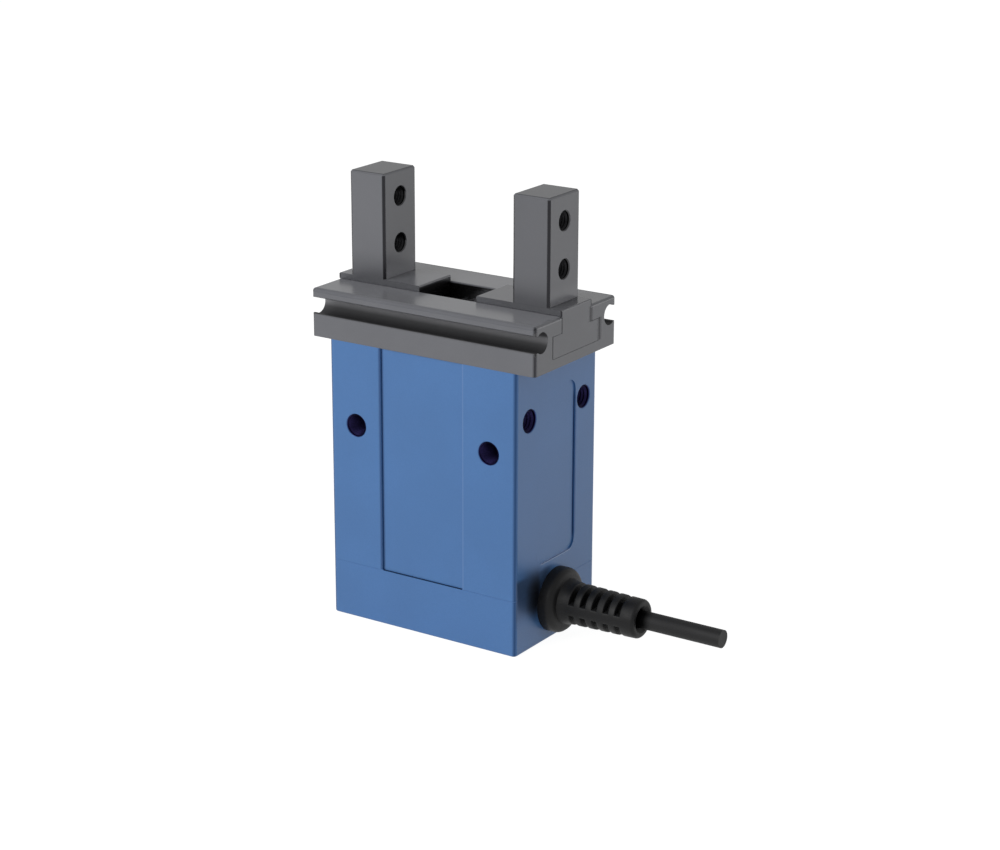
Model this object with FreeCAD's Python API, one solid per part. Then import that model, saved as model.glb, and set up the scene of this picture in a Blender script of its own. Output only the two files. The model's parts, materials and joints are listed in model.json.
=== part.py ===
import FreeCAD, Part
import math
import os

# Electric parallel gripper.
# A blue two-part body carries a grey guide rail. Two jaws slide in the rail's T-slot and are driven by
# racks, a pinion, a planetary stage and a small motor that stands upright inside the body.
# Millimetres. +X is the jaws' travel, -Y the front, +Z up. The origin is the centre of the base.
# The jaws are modelled fully open.

# Body
body_width = 58.8
body_depth = 38.8
body_height = 77.0
body_corner_radius = 1.15
bottom_edge_radius = 0.5
base_height = 15.35
gasket_thickness = 0.2
gasket_inset = 0.05
channel_width = 25.8
channel_depth = 0.4
recess_half_width = 9.0
recess_bottom = 22.1
recess_top = 69.2
recess_depth = 0.4
recess_corner_radius = 3.0

# Fixing holes in the body
body_hole_radius = 3.0
body_hole_depth = 8.5
hole_mouth_chamfer = 0.3
front_hole_edge = 8.4
front_hole_spacing = body_width - 2 * front_hole_edge
front_hole_height = 54.5
back_hole_height = 48.5
side_hole_edge = 6.4
side_hole_spacing = body_depth - 2 * side_hole_edge
side_hole_height = 63.0
drill_point_height = 1.7

# Hollow of the housing
drive_bore_radius = 15.4
top_wall = 11.0
board_pocket_wall = 4.0
board_pocket_half_width = 8.3
board_pocket_top = 58.0

# Base block
base_floor = 3.6
base_end_wall = 8.9
base_side_wall = 3.8
base_pocket_half_length = body_width / 2 - base_end_wall
base_pocket_half_width = body_depth / 2 - base_side_wall
base_pocket_corner_radius = 4.0
base_screw_edge = 4.2
base_screw_x = body_width / 2 - base_screw_edge
base_screw_y = body_depth / 2 - base_screw_edge
base_screw_radius = 2.0
base_screw_head_radius = 3.5
base_screw_head_height = 4.0
base_screw_top = 24.0
counterbore_clearance = 0.25
counterbore_extra_depth = 0.4
tapped_hole_extra = 1.0

# Guide rail
rail_length = 70.0
rail_setback = 0.05
rail_depth = body_depth - 2 * rail_setback
rail_height = 13.02
rail_corner_radius = 1.0
rail_top_edge_radius = 0.8
slot_floor = 2.7
slot_foot_height = 6.06
slot_foot_width = 22.5
slot_neck_width = 13.9
slot_edge_chamfer = 0.35
groove_center_height = 8.36
groove_center_depth = 3.0
groove_radius = 2.8
groove_mouth = 4.36
groove_edge_chamfer = 0.3
rail_screw_edge = 3.9
rail_screw_x = body_width / 2 - rail_screw_edge
rail_screw_y = 7.0
rail_screw_radius = 1.5
rail_screw_head_radius = 2.9
rail_screw_head_height = 1.4
rail_screw_depth = 7.5
dowel_end_edge = 5.4
dowel_x = body_width / 2 - dowel_end_edge
dowel_y = base_screw_y
dowel_radius = 1.5
dowel_in_rail = 3.9
dowel_in_housing = 4.0
dowel_hole_extra_above = 0.1
dowel_hole_extra_below = 0.2

# Jaws
stroke = 7.5
closed_half_gap = 1.4
slide_clearance = 0.1
foot_rack_clearance = 1.0
foot_end_plate_share = 0.2358
carriage_rise = 1.62
finger_center = 25.55
finger_thickness = 11.1
finger_width = 14.3
finger_height = 28.3
finger_edge_chamfer = 0.5
carriage_edge_radius = 0.4
finger_hole_radius = 2.5
finger_hole_spacing = 12.6
finger_hole_from_top = 6.95

# Rack and pinion
pressure_angle = math.radians(25.0)
addendum_share = 0.9
dedendum_share = 1.2
rack_module = 1.0
pinion_teeth = 12
rack_teeth_inward = 2
rack_thinning = 0.12
pinion_height = 5.3
pinion_hub_radius = 4.2
pinion_hub_clearance = 0.4
pinion_end_gap = 0.3
rack_screw_spacing_share = 0.5144
rack_screw_radius_share = 0.1286
rack_screw_head_share = 0.2263
rack_screw_head_height = 1.3
rack_screw_length = 8.0
rack_screw_end_gap = 0.5
neck_underside_gap = 0.4

# Output shaft
shaft_radius = 2.97
shaft_flat = 2.5
shaft_bore_clearance = 0.03
bearing_outer_radius = 6.5
bearing_width = 5.0
bearing_seat_clearance = 0.02
bearing_shield_inner = 4.1
bearing_shield_outer = 5.6
bearing_shield_depth = 0.3
bearing_shoulder_radius = 5.2
clip_outer_radius = 4.2
clip_thickness = 0.56
clip_groove_depth = 0.4
clip_clearance = 0.02
clip_gap_share = 0.6

# Planetary stage
gear_module = 0.5
sun_teeth = 12
planet_teeth = 15
ring_teeth = 42
planet_count = 3
gear_thinning = 0.08
gearbox_radius = 15.0
gearbox_height = 14.0
planet_height = 7.9
planet_end_gap = 0.3
planet_pin_radius = 1.2
pin_press_clearance = 0.01
pin_running_clearance = 0.05
carrier_radius = 10.9
carrier_clearance = 0.4
carrier_thickness = 3.5
carrier_shoulder_radius = 4.0
gearbox_screw_circle = 13.1
gearbox_screw_radius = 1.0
gearbox_screw_head_radius = 1.7
gearbox_screw_head_height = 1.9
gearbox_screw_depth = 5.0
screw_clearance = 0.05
socket_share = 0.5
socket_depth_share = 0.5
flat_socket_share = 0.45
flat_socket_depth_share = 0.6

# Motor
motor_plate_thickness = 3.0
motor_plate_hole_clearance = 1.0
motor_radius = 11.0
motor_wall = 0.8
motor_length = 27.0
motor_front_wall = 2.7
motor_shaft_radius = 1.5
motor_shaft_clearance = 0.03
motor_press_clearance = 0.02
motor_bearing_radius = 4.0
motor_bearing_width = 2.5
motor_shield_inner_share = 0.3
motor_shield_outer_share = 0.7
end_cap_thickness = 2.5
end_cap_spigot = 1.5
end_cap_floor = 1.0
end_cap_hole_clearance = 0.4
plate_screw_circle = 7.5
plate_screw_radius = 1.0
plate_screw_head_radius = 1.9
plate_screw_head_height = 1.1
plate_screw_length = 4.9
plate_screw_count = 3
plate_screw_start = 60.0
stator_height = 14.0
stator_raise = 0.5
stator_yoke = 1.3
stator_bore = 6.9
stator_clearance = 0.05
stator_tooth_width = 2.6
stator_teeth = 6
coil_width = 1.35
coil_inner_radius = 7.1
coil_outer_radius = 8.3
rotor_radius = 6.4

# Position sensor under the motor
encoder_magnet_radius = 3.0
encoder_magnet_height = 2.4
encoder_magnet_seat = 1.2
encoder_air_gap = 0.8
encoder_chip_size = 4.0
encoder_chip_height = 0.9
encoder_board_radius = 10.5
encoder_board_thickness = 1.0
encoder_screw_circle = 8.5
encoder_screw_count = 3
encoder_screw_start = 30.0
encoder_screw_end_gap = 0.5
shaft_rear_length = 2.4

# Control board on the housing's wall
board_thickness = 1.6
board_gap = 1.0
board_half_width = 8.0
board_bottom = 18.0
board_top = 56.0
board_screw_y = 6.3
board_screw_inset = 3.0
board_screw_depth = 2.1
board_screw_hole_extra = 0.2
socket_width = 10.0
socket_depth = 5.0
socket_wall = 1.0
socket_height = 8.5
processor_size = 9.0
processor_thickness = 1.2
processor_height = 20.0
driver_size = 5.0
driver_thickness = 0.9
driver_height = 29.3
driver_y = -4.0
coil_size = 5.5
coil_thickness = 3.0
coil_y = 3.25
capacitor_radius = 1.6
capacitor_length = 4.5
capacitor_height = 34.2
capacitor_y = 2.6
small_screw_radius = 1.0
small_screw_head_radius = 1.8
small_screw_head_height = 1.2
spacer_radius = 1.7

# Cable and its strain relief
cable_radius = 2.4
cable_height = 10.4
cable_inner_stub = 1.5
cable_reach = 50.5
cable_clearance = 0.05
boot_spigot_radius = 4.2
boot_spigot_clearance = 0.1
boot_lip_radius = 4.9
boot_lip_length = 1.1
boot_flange_radius = 8.8
boot_flange_length = 4.1
boot_flange_round = 2.0
boot_neck_radius = 6.25
boot_neck_step = 0.1
boot_neck_bend_share = 0.53
boot_start_radius = 5.7
boot_start = 7.0
boot_end_radius = 5.25
boot_length = 26.9
boot_end_round = 1.0
boot_mouth_radius = 3.75
boot_mouth_depth = 1.2
boot_slot_count = 5
boot_slot_start = 8.2
boot_slot_pitch = 3.44
boot_slot_width = 1.5
boot_slot_floor_radius = 3.3
boot_spine_half_width = 1.5
clamp_end_gap = 2.0
clamp_length = 6.0
clamp_start = base_pocket_half_length - clamp_end_gap - clamp_length
clamp_half_width = 8.0
clamp_foot_thickness = 2.0
clamp_arch_radius = 3.8
clamp_screw_y = 6.0
clamp_screw_depth = 4.0

# Heights and places that follow from the sizes above
seam_top = base_height + gasket_thickness
half_width = body_width / 2
half_depth = body_depth / 2
cable_inner_end = clamp_start - cable_inner_stub
cable_outer_end = half_width + cable_reach
drive_top = body_height - top_wall
rail_top = body_height + rail_height
floor_top = body_height + slot_floor
slot_ceiling = floor_top + slot_foot_height
foot_bottom = floor_top + slide_clearance
foot_top = slot_ceiling - slide_clearance
foot_half_width = slot_foot_width / 2 - slide_clearance
jaw_half_width = slot_neck_width / 2 - slide_clearance
carriage_bottom = rail_top + slide_clearance
carriage_top = rail_top + carriage_rise
finger_half_width = finger_width / 2
finger_top = carriage_top + finger_height
pinion_radius = rack_module * pinion_teeth / 2
rack_pitch = math.pi * rack_module
rack_teeth_outward = math.ceil(stroke / rack_pitch + 1)
rack_root = pinion_radius + dedendum_share * rack_module
rack_inner_end = rack_teeth_inward * rack_pitch
jaw_outer_end = rail_length / 2
jaw_inner_end = stroke + closed_half_gap
foot_inner_end = rack_inner_end + 2 * stroke + foot_rack_clearance
foot_end_plate = foot_end_plate_share * (jaw_outer_end - foot_inner_end)
rack_outer_end = jaw_outer_end - foot_end_plate
rack_grip = rack_outer_end - foot_inner_end
rack_screw_spacing = rack_screw_spacing_share * rack_grip
rack_screw_radius = rack_screw_radius_share * rack_grip
rack_screw_head_radius = rack_screw_head_share * rack_grip
pinion_bottom = floor_top + pinion_end_gap
pinion_top = pinion_bottom + pinion_height
clip_bottom = pinion_top + clip_clearance
shaft_top = clip_bottom + 2 * clip_thickness
neck_underside = shaft_top + neck_underside_gap
gearbox_bottom = drive_top - gearbox_height
motor_front = gearbox_bottom - motor_plate_thickness
motor_rear = motor_front - motor_length
end_cap_bottom = motor_rear - end_cap_thickness
shaft_rear = end_cap_bottom - shaft_rear_length
planet_bottom = gearbox_bottom + planet_end_gap
planet_top = planet_bottom + planet_height
carrier_bottom = planet_top + planet_end_gap
carrier_top = carrier_bottom + carrier_thickness
planet_circle = gear_module * (sun_teeth + planet_teeth) / 2
encoder_magnet_bottom = shaft_rear - encoder_magnet_height + encoder_magnet_seat
encoder_board_top = encoder_magnet_bottom - encoder_air_gap - encoder_chip_height
pocket_wall_x = half_width - board_pocket_wall
board_back_x = pocket_wall_x - board_gap
board_front_x = board_back_x - board_thickness
stator_middle = (motor_front - motor_front_wall + motor_rear) / 2
stator_bottom = stator_middle - stator_height / 2 + stator_raise

V = FreeCAD.Vector
ORIGIN = V(0, 0, 0)
ALONG_X = V(1, 0, 0)
ALONG_Y = V(0, 1, 0)
ALONG_Z = V(0, 0, 1)


def box(x0, x1, y0, y1, z0, z1):
    return Part.makeBox(x1 - x0, y1 - y0, z1 - z0, V(x0, y0, z0))


def post(radius, z0, z1, x=0.0, y=0.0):
    """Upright cylinder between two heights."""
    return Part.makeCylinder(radius, z1 - z0, V(x, y, z0), ALONG_Z)


def ring(outer, inner, z0, z1, x=0.0, y=0.0):
    return post(outer, z0, z1, x, y).cut(post(inner, z0, z1, x, y))


def cone(bottom_radius, top_radius, z0, z1, x=0.0, y=0.0):
    return Part.makeCone(bottom_radius, top_radius, z1 - z0, V(x, y, z0), ALONG_Z)


def fuse(shapes):
    whole = shapes[0]
    for shape in shapes[1:]:
        whole = whole.fuse(shape)
    return whole


def cut(shape, cutters):
    for cutter in cutters:
        shape = shape.cut(cutter)
    return shape


def turned(shape, degrees, axis=ALONG_Z, centre=ORIGIN):
    copy = shape.copy()
    copy.rotate(centre, axis, degrees)
    return copy


def around(shape, count, start=0.0):
    """Copies of a shape, evenly spaced about the Z axis."""
    return [turned(shape, start + 360.0 * k / count) for k in range(count)]


def corners(x, y):
    return [(x, y), (-x, y), (-x, -y), (x, -y)]


def outline(points):
    """Closed wire. A point draws a line to it, and a (middle, end) pair draws an arc."""
    edges = []
    here = points[0]
    for item in points[1:] + [points[0]]:
        if isinstance(item, tuple):
            edges.append(Part.Arc(here, item[0], item[1]).toShape())
            here = item[1]
        else:
            edges.append(Part.LineSegment(here, item).toShape())
            here = item
    return Part.Wire(edges)


def extruded(points, direction):
    return Part.Face(outline(points)).extrude(direction)


def rounded_outline(half_u, half_v, radius, place):
    """Rectangle with round corners. place(u, v) turns its flat coordinates into a point."""
    bend = radius * (1 - math.sqrt(0.5))
    points = []
    for su, sv, first_along_u in [(1, 1, False), (-1, 1, True), (-1, -1, False), (1, -1, True)]:
        side = place(su * half_u, sv * (half_v - radius))
        end = place(su * (half_u - radius), sv * half_v)
        middle = place(su * (half_u - bend), sv * (half_v - bend))
        if first_along_u:
            side, end = end, side
        points.append(side)
        points.append((middle, end))
    return points


def rounded_block(length, depth, radius, z0, z1):
    """Upright block with round vertical edges."""
    points = rounded_outline(length / 2, depth / 2, radius, lambda u, v: V(u, v, z0))
    return extruded(points, V(0, 0, z1 - z0))


def edges_on_plane(shape, z, margin=1e-3):
    picked = []
    for edge in shape.Edges:
        bounds = edge.BoundBox
        if abs(bounds.ZMin - z) < margin and abs(bounds.ZMax - z) < margin:
            picked.append(edge)
    return picked


def socket_outline(radius, z):
    """Corners of a screw's six-sided socket."""
    return [V(radius * math.cos(k * math.pi / 3), radius * math.sin(k * math.pi / 3), z) for k in range(6)]


def screw(radius, head_radius, head_height, length):
    """Socket screw, head upwards from z = 0, shank downwards, with a six-sided socket."""
    floor = head_height * (1 - socket_depth_share)
    flats = socket_outline(head_radius * socket_share, floor)
    head = post(head_radius, 0, head_height).cut(extruded(flats, V(0, 0, head_height)))
    return head.fuse(post(radius, -length, 0))


def countersunk_screw(radius, head_radius, head_height, length):
    """Flat-headed screw, its top at z = 0."""
    flats = socket_outline(head_radius * flat_socket_share, -head_height * flat_socket_depth_share)
    body = cone(radius, head_radius, -head_height, 0).fuse(post(radius, -length, -head_height))
    return body.cut(extruded(flats, V(0, 0, head_height)))


def moved(shape, x, y, z):
    copy = shape.copy()
    copy.translate(V(x, y, z))
    return copy


def flank_angle(radius, base_radius, half_angle):
    """Half of the tooth's angle at a radius, from its half angle on the pitch circle."""
    at_pitch = math.tan(pressure_angle) - pressure_angle
    local = math.acos(min(1.0, base_radius / radius))
    return half_angle + at_pitch - (math.tan(local) - local)


def gear_outline(module, teeth, root_radius, tip_radius, thickness, phase):
    """Involute gear outline in the XY plane. Each flank is an arc through three involute points."""
    pitch_radius = module * teeth / 2
    base_radius = pitch_radius * math.cos(pressure_angle)
    half_angle = thickness / 2 / pitch_radius
    start_radius = max(root_radius, base_radius)
    middle_radius = (start_radius + tip_radius) / 2
    step = 2 * math.pi / teeth

    def at(radius, angle):
        return V(radius * math.cos(angle), radius * math.sin(angle), 0)

    start = flank_angle(start_radius, base_radius, half_angle)
    middle = flank_angle(middle_radius, base_radius, half_angle)
    tip = flank_angle(tip_radius, base_radius, half_angle)
    points = []
    for k in range(teeth):
        center = phase + k * step
        points.append(at(root_radius, center - start))
        if start_radius > root_radius:
            points.append(at(start_radius, center - start))
        points.append((at(middle_radius, center - middle), at(tip_radius, center - tip)))
        points.append((at(tip_radius, center), at(tip_radius, center + tip)))
        points.append((at(middle_radius, center + middle), at(start_radius, center + start)))
        if start_radius > root_radius:
            points.append(at(root_radius, center + start))
        if k < teeth - 1:
            points.append((at(root_radius, center + step / 2), at(root_radius, center + step - start)))
    cleaned = [points[0]]
    for item in points[1:]:
        previous = cleaned[-1][1] if isinstance(cleaned[-1], tuple) else cleaned[-1]
        if isinstance(item, tuple) or item.distanceToPoint(previous) > 1e-6:
            cleaned.append(item)
    return cleaned


def gear(module, teeth, thinning, z0, z1, phase=0.0):
    """External spur gear. thinning is taken off each tooth on the pitch circle."""
    pitch_radius = module * teeth / 2
    root = pitch_radius - dedendum_share * module
    tip = pitch_radius + addendum_share * module
    thickness = math.pi * module / 2 - thinning
    points = gear_outline(module, teeth, root, tip, thickness, phase)
    return moved(extruded(points, V(0, 0, z1 - z0)), 0, 0, z0)


def ring_gear_hollow(z0, z1):
    """The space inside the ring gear's teeth, as a solid."""
    pitch_radius = gear_module * ring_teeth / 2
    inner = pitch_radius - addendum_share * gear_module
    outer = pitch_radius + dedendum_share * gear_module
    thickness = math.pi * gear_module / 2 + gear_thinning
    points = gear_outline(gear_module, ring_teeth, inner, outer, thickness, 0.0)
    return moved(extruded(points, V(0, 0, z1 - z0)), 0, 0, z0)


def mouth_chamfer(radius, mouth, inward):
    """Cone that breaks the edge of a hole's mouth."""
    wide = radius + hole_mouth_chamfer
    return Part.makeCone(wide, radius, hole_mouth_chamfer, mouth, inward)


def blind_hole(radius, depth, mouth, inward):
    """Drilled hole with a chamfered mouth and a cone-shaped end."""
    hole = Part.makeCylinder(radius, depth, mouth, inward)
    point = Part.makeCone(radius, 0, drill_point_height, mouth + inward * depth, inward)
    return hole.fuse(point).fuse(mouth_chamfer(radius, mouth, inward))


def front_hole_places():
    return [-front_hole_spacing / 2, front_hole_spacing / 2]


def side_hole_places():
    return [-side_hole_spacing / 2, side_hole_spacing / 2]


def fixing_holes():
    """M6 holes: two in the front and in the back, two in each side."""
    holes = []
    face_y = half_depth
    face_x = half_width
    for side, height in ((-1, front_hole_height), (1, back_hole_height)):
        for x in front_hole_places():
            mouth = V(x, side * face_y, height)
            holes.append(blind_hole(body_hole_radius, body_hole_depth, mouth, V(0, -side, 0)))
        for y in side_hole_places():
            mouth = V(side * face_x, y, side_hole_height)
            holes.append(blind_hole(body_hole_radius, body_hole_depth, mouth, V(-side, 0, 0)))
    return holes


def face_panels():
    """Shallow channels on front and back, shallow recesses on both sides."""
    panels = []
    height = recess_top - recess_bottom
    middle = (recess_top + recess_bottom) / 2
    for side in (-1, 1):
        y0, y1 = sorted([side * half_depth, side * (half_depth - channel_depth)])
        panels.append(box(-channel_width / 2, channel_width / 2, y0, y1, seam_top, body_height))
        x = side * half_width
        points = rounded_outline(recess_half_width, height / 2, recess_corner_radius,
                                 lambda u, v: V(x, u, middle + v))
        panels.append(extruded(points, V(-side * recess_depth, 0, 0)))
    return panels


def drive_hollow():
    """Bore for gearbox and motor, bearing seats above it and the pocket for the control board."""
    seat = bearing_outer_radius + bearing_seat_clearance
    return [
        post(drive_bore_radius, seam_top, drive_top),
        post(seat, drive_top, drive_top + bearing_width),
        post(seat, body_height - bearing_width, body_height),
        post(bearing_shoulder_radius, drive_top, body_height),
        box(-pocket_wall_x, 0, -board_pocket_half_width, board_pocket_half_width, seam_top,
            board_pocket_top),
    ]


def gearbox_screw_places():
    reach = gearbox_screw_circle * math.sqrt(0.5)
    return corners(reach, reach)


def board_screw_places():
    low = board_bottom + board_screw_inset
    high = board_top - board_screw_inset
    return [(y, z) for y in (-board_screw_y, board_screw_y) for z in (low, high)]


def housing_screw_holes():
    holes = []
    for x, y in corners(base_screw_x, base_screw_y):
        top = base_screw_top + tapped_hole_extra
        holes.append(post(base_screw_radius + screw_clearance, seam_top, top, x, y))
    for x, y in corners(rail_screw_x, rail_screw_y):
        bottom = body_height - rail_screw_depth - tapped_hole_extra
        holes.append(post(rail_screw_radius + screw_clearance, bottom, body_height, x, y))
    for x, y in dowel_places():
        bottom = body_height - dowel_in_housing - dowel_hole_extra_below
        holes.append(post(dowel_radius + pin_press_clearance, bottom, body_height, x, y))
    for x, y in gearbox_screw_places():
        top = drive_top + gearbox_screw_depth + tapped_hole_extra
        holes.append(post(gearbox_screw_radius + screw_clearance, drive_top, top, x, y))
    for y, z in board_screw_places():
        length = board_screw_depth + board_screw_hole_extra
        start = V(-pocket_wall_x - length, y, z)
        holes.append(Part.makeCylinder(small_screw_radius + screw_clearance, length, start, ALONG_X))
    return holes


def housing():
    block = rounded_block(body_width, body_depth, body_corner_radius, seam_top, body_height)
    return cut(block, face_panels() + drive_hollow() + fixing_holes() + housing_screw_holes())


def base_block():
    block = rounded_block(body_width, body_depth, body_corner_radius, 0, base_height)
    block = block.makeFillet(bottom_edge_radius, edges_on_plane(block, 0))
    pocket = rounded_block(2 * base_pocket_half_length, 2 * base_pocket_half_width,
                           base_pocket_corner_radius, base_floor, base_height)
    cable_start = V(base_pocket_half_length / 2, 0, cable_height)
    cable_hole = Part.makeCylinder(boot_spigot_radius + boot_spigot_clearance, half_width, cable_start,
                                   ALONG_X)
    cutters = [pocket, cable_hole]
    for x, y in corners(base_screw_x, base_screw_y):
        cutters.append(post(base_screw_radius + screw_clearance, 0, base_height, x, y))
        cutters.append(post(base_screw_head_radius + counterbore_clearance, 0,
                            base_screw_head_height + counterbore_extra_depth, x, y))
    block = cut(block, cutters)
    pad_top = cable_height - cable_radius - cable_clearance
    pad = box(clamp_start, clamp_start + clamp_length, -clamp_half_width, clamp_half_width,
              base_floor, pad_top)
    for y in (-clamp_screw_y, clamp_screw_y):
        x = clamp_start + clamp_length / 2
        pad = pad.cut(post(small_screw_radius + screw_clearance, base_floor, pad_top, x, y))
    return block.fuse(pad).removeSplitter()


def base_gasket():
    sheet = rounded_block(body_width - 2 * gasket_inset, body_depth - 2 * gasket_inset,
                          body_corner_radius, base_height, seam_top)
    window = rounded_block(2 * base_pocket_half_length, 2 * base_pocket_half_width,
                           base_pocket_corner_radius, base_height, seam_top)
    cutters = [window]
    for x, y in corners(base_screw_x, base_screw_y):
        cutters.append(post(base_screw_radius + 2 * screw_clearance, base_height, seam_top, x, y))
    board_window = box(-pocket_wall_x, 0, -board_pocket_half_width, board_pocket_half_width,
                       base_height, seam_top)
    cutters.append(board_window)
    return cut(sheet, cutters)


def base_screws():
    """Four screws from below, heads in their counterbores."""
    length = base_screw_top - base_screw_head_height - counterbore_extra_depth
    one = screw(base_screw_radius, base_screw_head_radius, base_screw_head_height, length)
    one = turned(one, 180, ALONG_X)
    seat = base_screw_head_height + counterbore_extra_depth
    return [moved(one, x, y, seat) for x, y in corners(base_screw_x, base_screw_y)]


def t_slot():
    """T-shaped slot along the rail, its top edges chamfered."""
    foot = slot_foot_width / 2
    neck = slot_neck_width / 2
    wide = neck + slot_edge_chamfer
    low = rail_top - slot_edge_chamfer
    x = -rail_length / 2
    right = [(foot, floor_top), (foot, slot_ceiling), (neck, slot_ceiling), (neck, low), (wide, rail_top)]
    left = [(-y, z) for y, z in reversed(right)]
    return extruded([V(x, y, z) for y, z in right + left], V(rail_length, 0, 0))


def sensor_groove(side):
    """Round groove with a narrower mouth in the rail's long face."""
    face = rail_depth / 2
    z = body_height + groove_center_height
    y = face - groove_center_depth
    half_mouth = groove_mouth / 2
    x = -rail_length / 2
    mouth = [(face, half_mouth + groove_edge_chamfer), (face - groove_edge_chamfer, half_mouth),
             (y, half_mouth)]
    mouth += [(u, -v) for u, v in reversed(mouth)]
    opening = extruded([V(x, side * u, z + v) for u, v in mouth], V(rail_length, 0, 0))
    channel = Part.makeCylinder(groove_radius, rail_length, V(x, side * y, z), ALONG_X)
    return channel.fuse(opening)


def dowel_places():
    return [(-dowel_x, dowel_y), (dowel_x, -dowel_y)]


def guide_rail():
    block = rounded_block(rail_length, rail_depth, rail_corner_radius, body_height, rail_top)
    block = block.makeFillet(rail_top_edge_radius, edges_on_plane(block, rail_top))
    cutters = [t_slot(), sensor_groove(-1), sensor_groove(1)]
    cutters.append(post(pinion_hub_radius + pinion_hub_clearance, body_height, floor_top))
    for x, y in corners(rail_screw_x, rail_screw_y):
        head_bottom = floor_top - slide_clearance - rail_screw_head_height
        cutters.append(post(rail_screw_radius + screw_clearance, body_height, floor_top, x, y))
        grow = (rail_screw_head_radius - rail_screw_radius) / rail_screw_head_height
        top_radius = rail_screw_head_radius + screw_clearance + grow * slide_clearance
        cutters.append(cone(rail_screw_radius + screw_clearance, top_radius, head_bottom, floor_top, x, y))
    for x, y in dowel_places():
        cutters.append(post(dowel_radius + pin_press_clearance, body_height,
                            body_height + dowel_in_rail + dowel_hole_extra_above, x, y))
    return cut(block, cutters)


def rail_screws():
    length = slot_floor - slide_clearance + rail_screw_depth
    one = countersunk_screw(rail_screw_radius, rail_screw_head_radius, rail_screw_head_height, length)
    return [moved(one, x, y, floor_top - slide_clearance) for x, y in corners(rail_screw_x, rail_screw_y)]


def rail_dowels():
    return [post(dowel_radius, body_height - dowel_in_housing, body_height + dowel_in_rail, x, y)
            for x, y in dowel_places()]


def rack_screw_places():
    middle = (rack_outer_end + foot_inner_end) / 2
    return [middle - rack_screw_spacing / 2, middle + rack_screw_spacing / 2]


def rack_screw_height():
    return (foot_bottom + foot_top) / 2


def carriage_profile():
    """Side view of the left jaw above the rail: carriage plate and finger."""
    left = -jaw_outer_end
    finger_left = -finger_center - finger_thickness / 2
    finger_right = -finger_center + finger_thickness / 2
    return [
        (left, carriage_bottom), (left, carriage_top), (finger_left, carriage_top), (finger_left, finger_top),
        (finger_right, finger_top), (finger_right, carriage_top), (-jaw_inner_end, carriage_top),
        (-jaw_inner_end, carriage_bottom),
    ]


def neck_profile():
    """Side view of the left jaw inside the slot: neck, and the foot's block at the outer end."""
    left = -jaw_outer_end
    return [
        (left, foot_bottom), (left, carriage_bottom), (-jaw_inner_end, carriage_bottom),
        (-jaw_inner_end, neck_underside), (-foot_inner_end, neck_underside), (-foot_inner_end, foot_bottom),
    ]


def across(profile, half_width):
    """A side view made as thick as twice the half width, centred on the rail."""
    return extruded([V(x, -half_width, z) for x, z in profile], V(0, 2 * half_width, 0))


def finger_edges(shape):
    """Upright edges of the finger and the edges round its top."""
    picked = edges_on_plane(shape, finger_top)
    for edge in shape.Edges:
        bounds = edge.BoundBox
        upright = bounds.ZLength > finger_height / 2
        if upright and bounds.ZMin > carriage_top - 1e-3:
            picked.append(edge)
    return picked


def carriage_end_edges(shape):
    """Upper edges of the carriage's two end faces."""
    picked = []
    for edge in edges_on_plane(shape, carriage_top):
        bounds = edge.BoundBox
        at_end = bounds.XMax < -jaw_outer_end + 1e-3 or bounds.XMin > -jaw_inner_end - 1e-3
        if at_end:
            picked.append(edge)
    return picked


def jaw():
    """T-foot carriage and finger as one machined piece, on the left side."""
    upper = across(carriage_profile(), finger_half_width)
    upper = upper.makeChamfer(finger_edge_chamfer, finger_edges(upper))
    upper = upper.makeFillet(carriage_edge_radius, carriage_end_edges(upper))
    neck = across(neck_profile(), jaw_half_width)
    foot = box(-jaw_outer_end, -foot_inner_end, -foot_half_width, rack_root, foot_bottom, foot_top)
    plate = box(-jaw_outer_end, -rack_outer_end, 0, foot_half_width, foot_bottom, foot_top)
    body = fuse([upper, neck, foot, plate]).removeSplitter()
    holes = []
    for z in finger_hole_heights():
        outer = V(-finger_center - finger_thickness / 2, 0, z)
        inner = V(-finger_center + finger_thickness / 2, 0, z)
        holes.append(Part.makeCylinder(finger_hole_radius, finger_thickness, outer, ALONG_X))
        holes.append(mouth_chamfer(finger_hole_radius, outer, ALONG_X))
        holes.append(mouth_chamfer(finger_hole_radius, inner, -ALONG_X))
    for x in rack_screw_places():
        start = V(-x, rack_root - rack_screw_length, rack_screw_height())
        hole_radius = rack_screw_radius + screw_clearance
        holes.append(Part.makeCylinder(hole_radius, rack_screw_length, start, ALONG_Y))
    return cut(body, holes)


def finger_hole_heights():
    upper = finger_top - finger_hole_from_top
    return [upper - finger_hole_spacing, upper]


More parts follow.
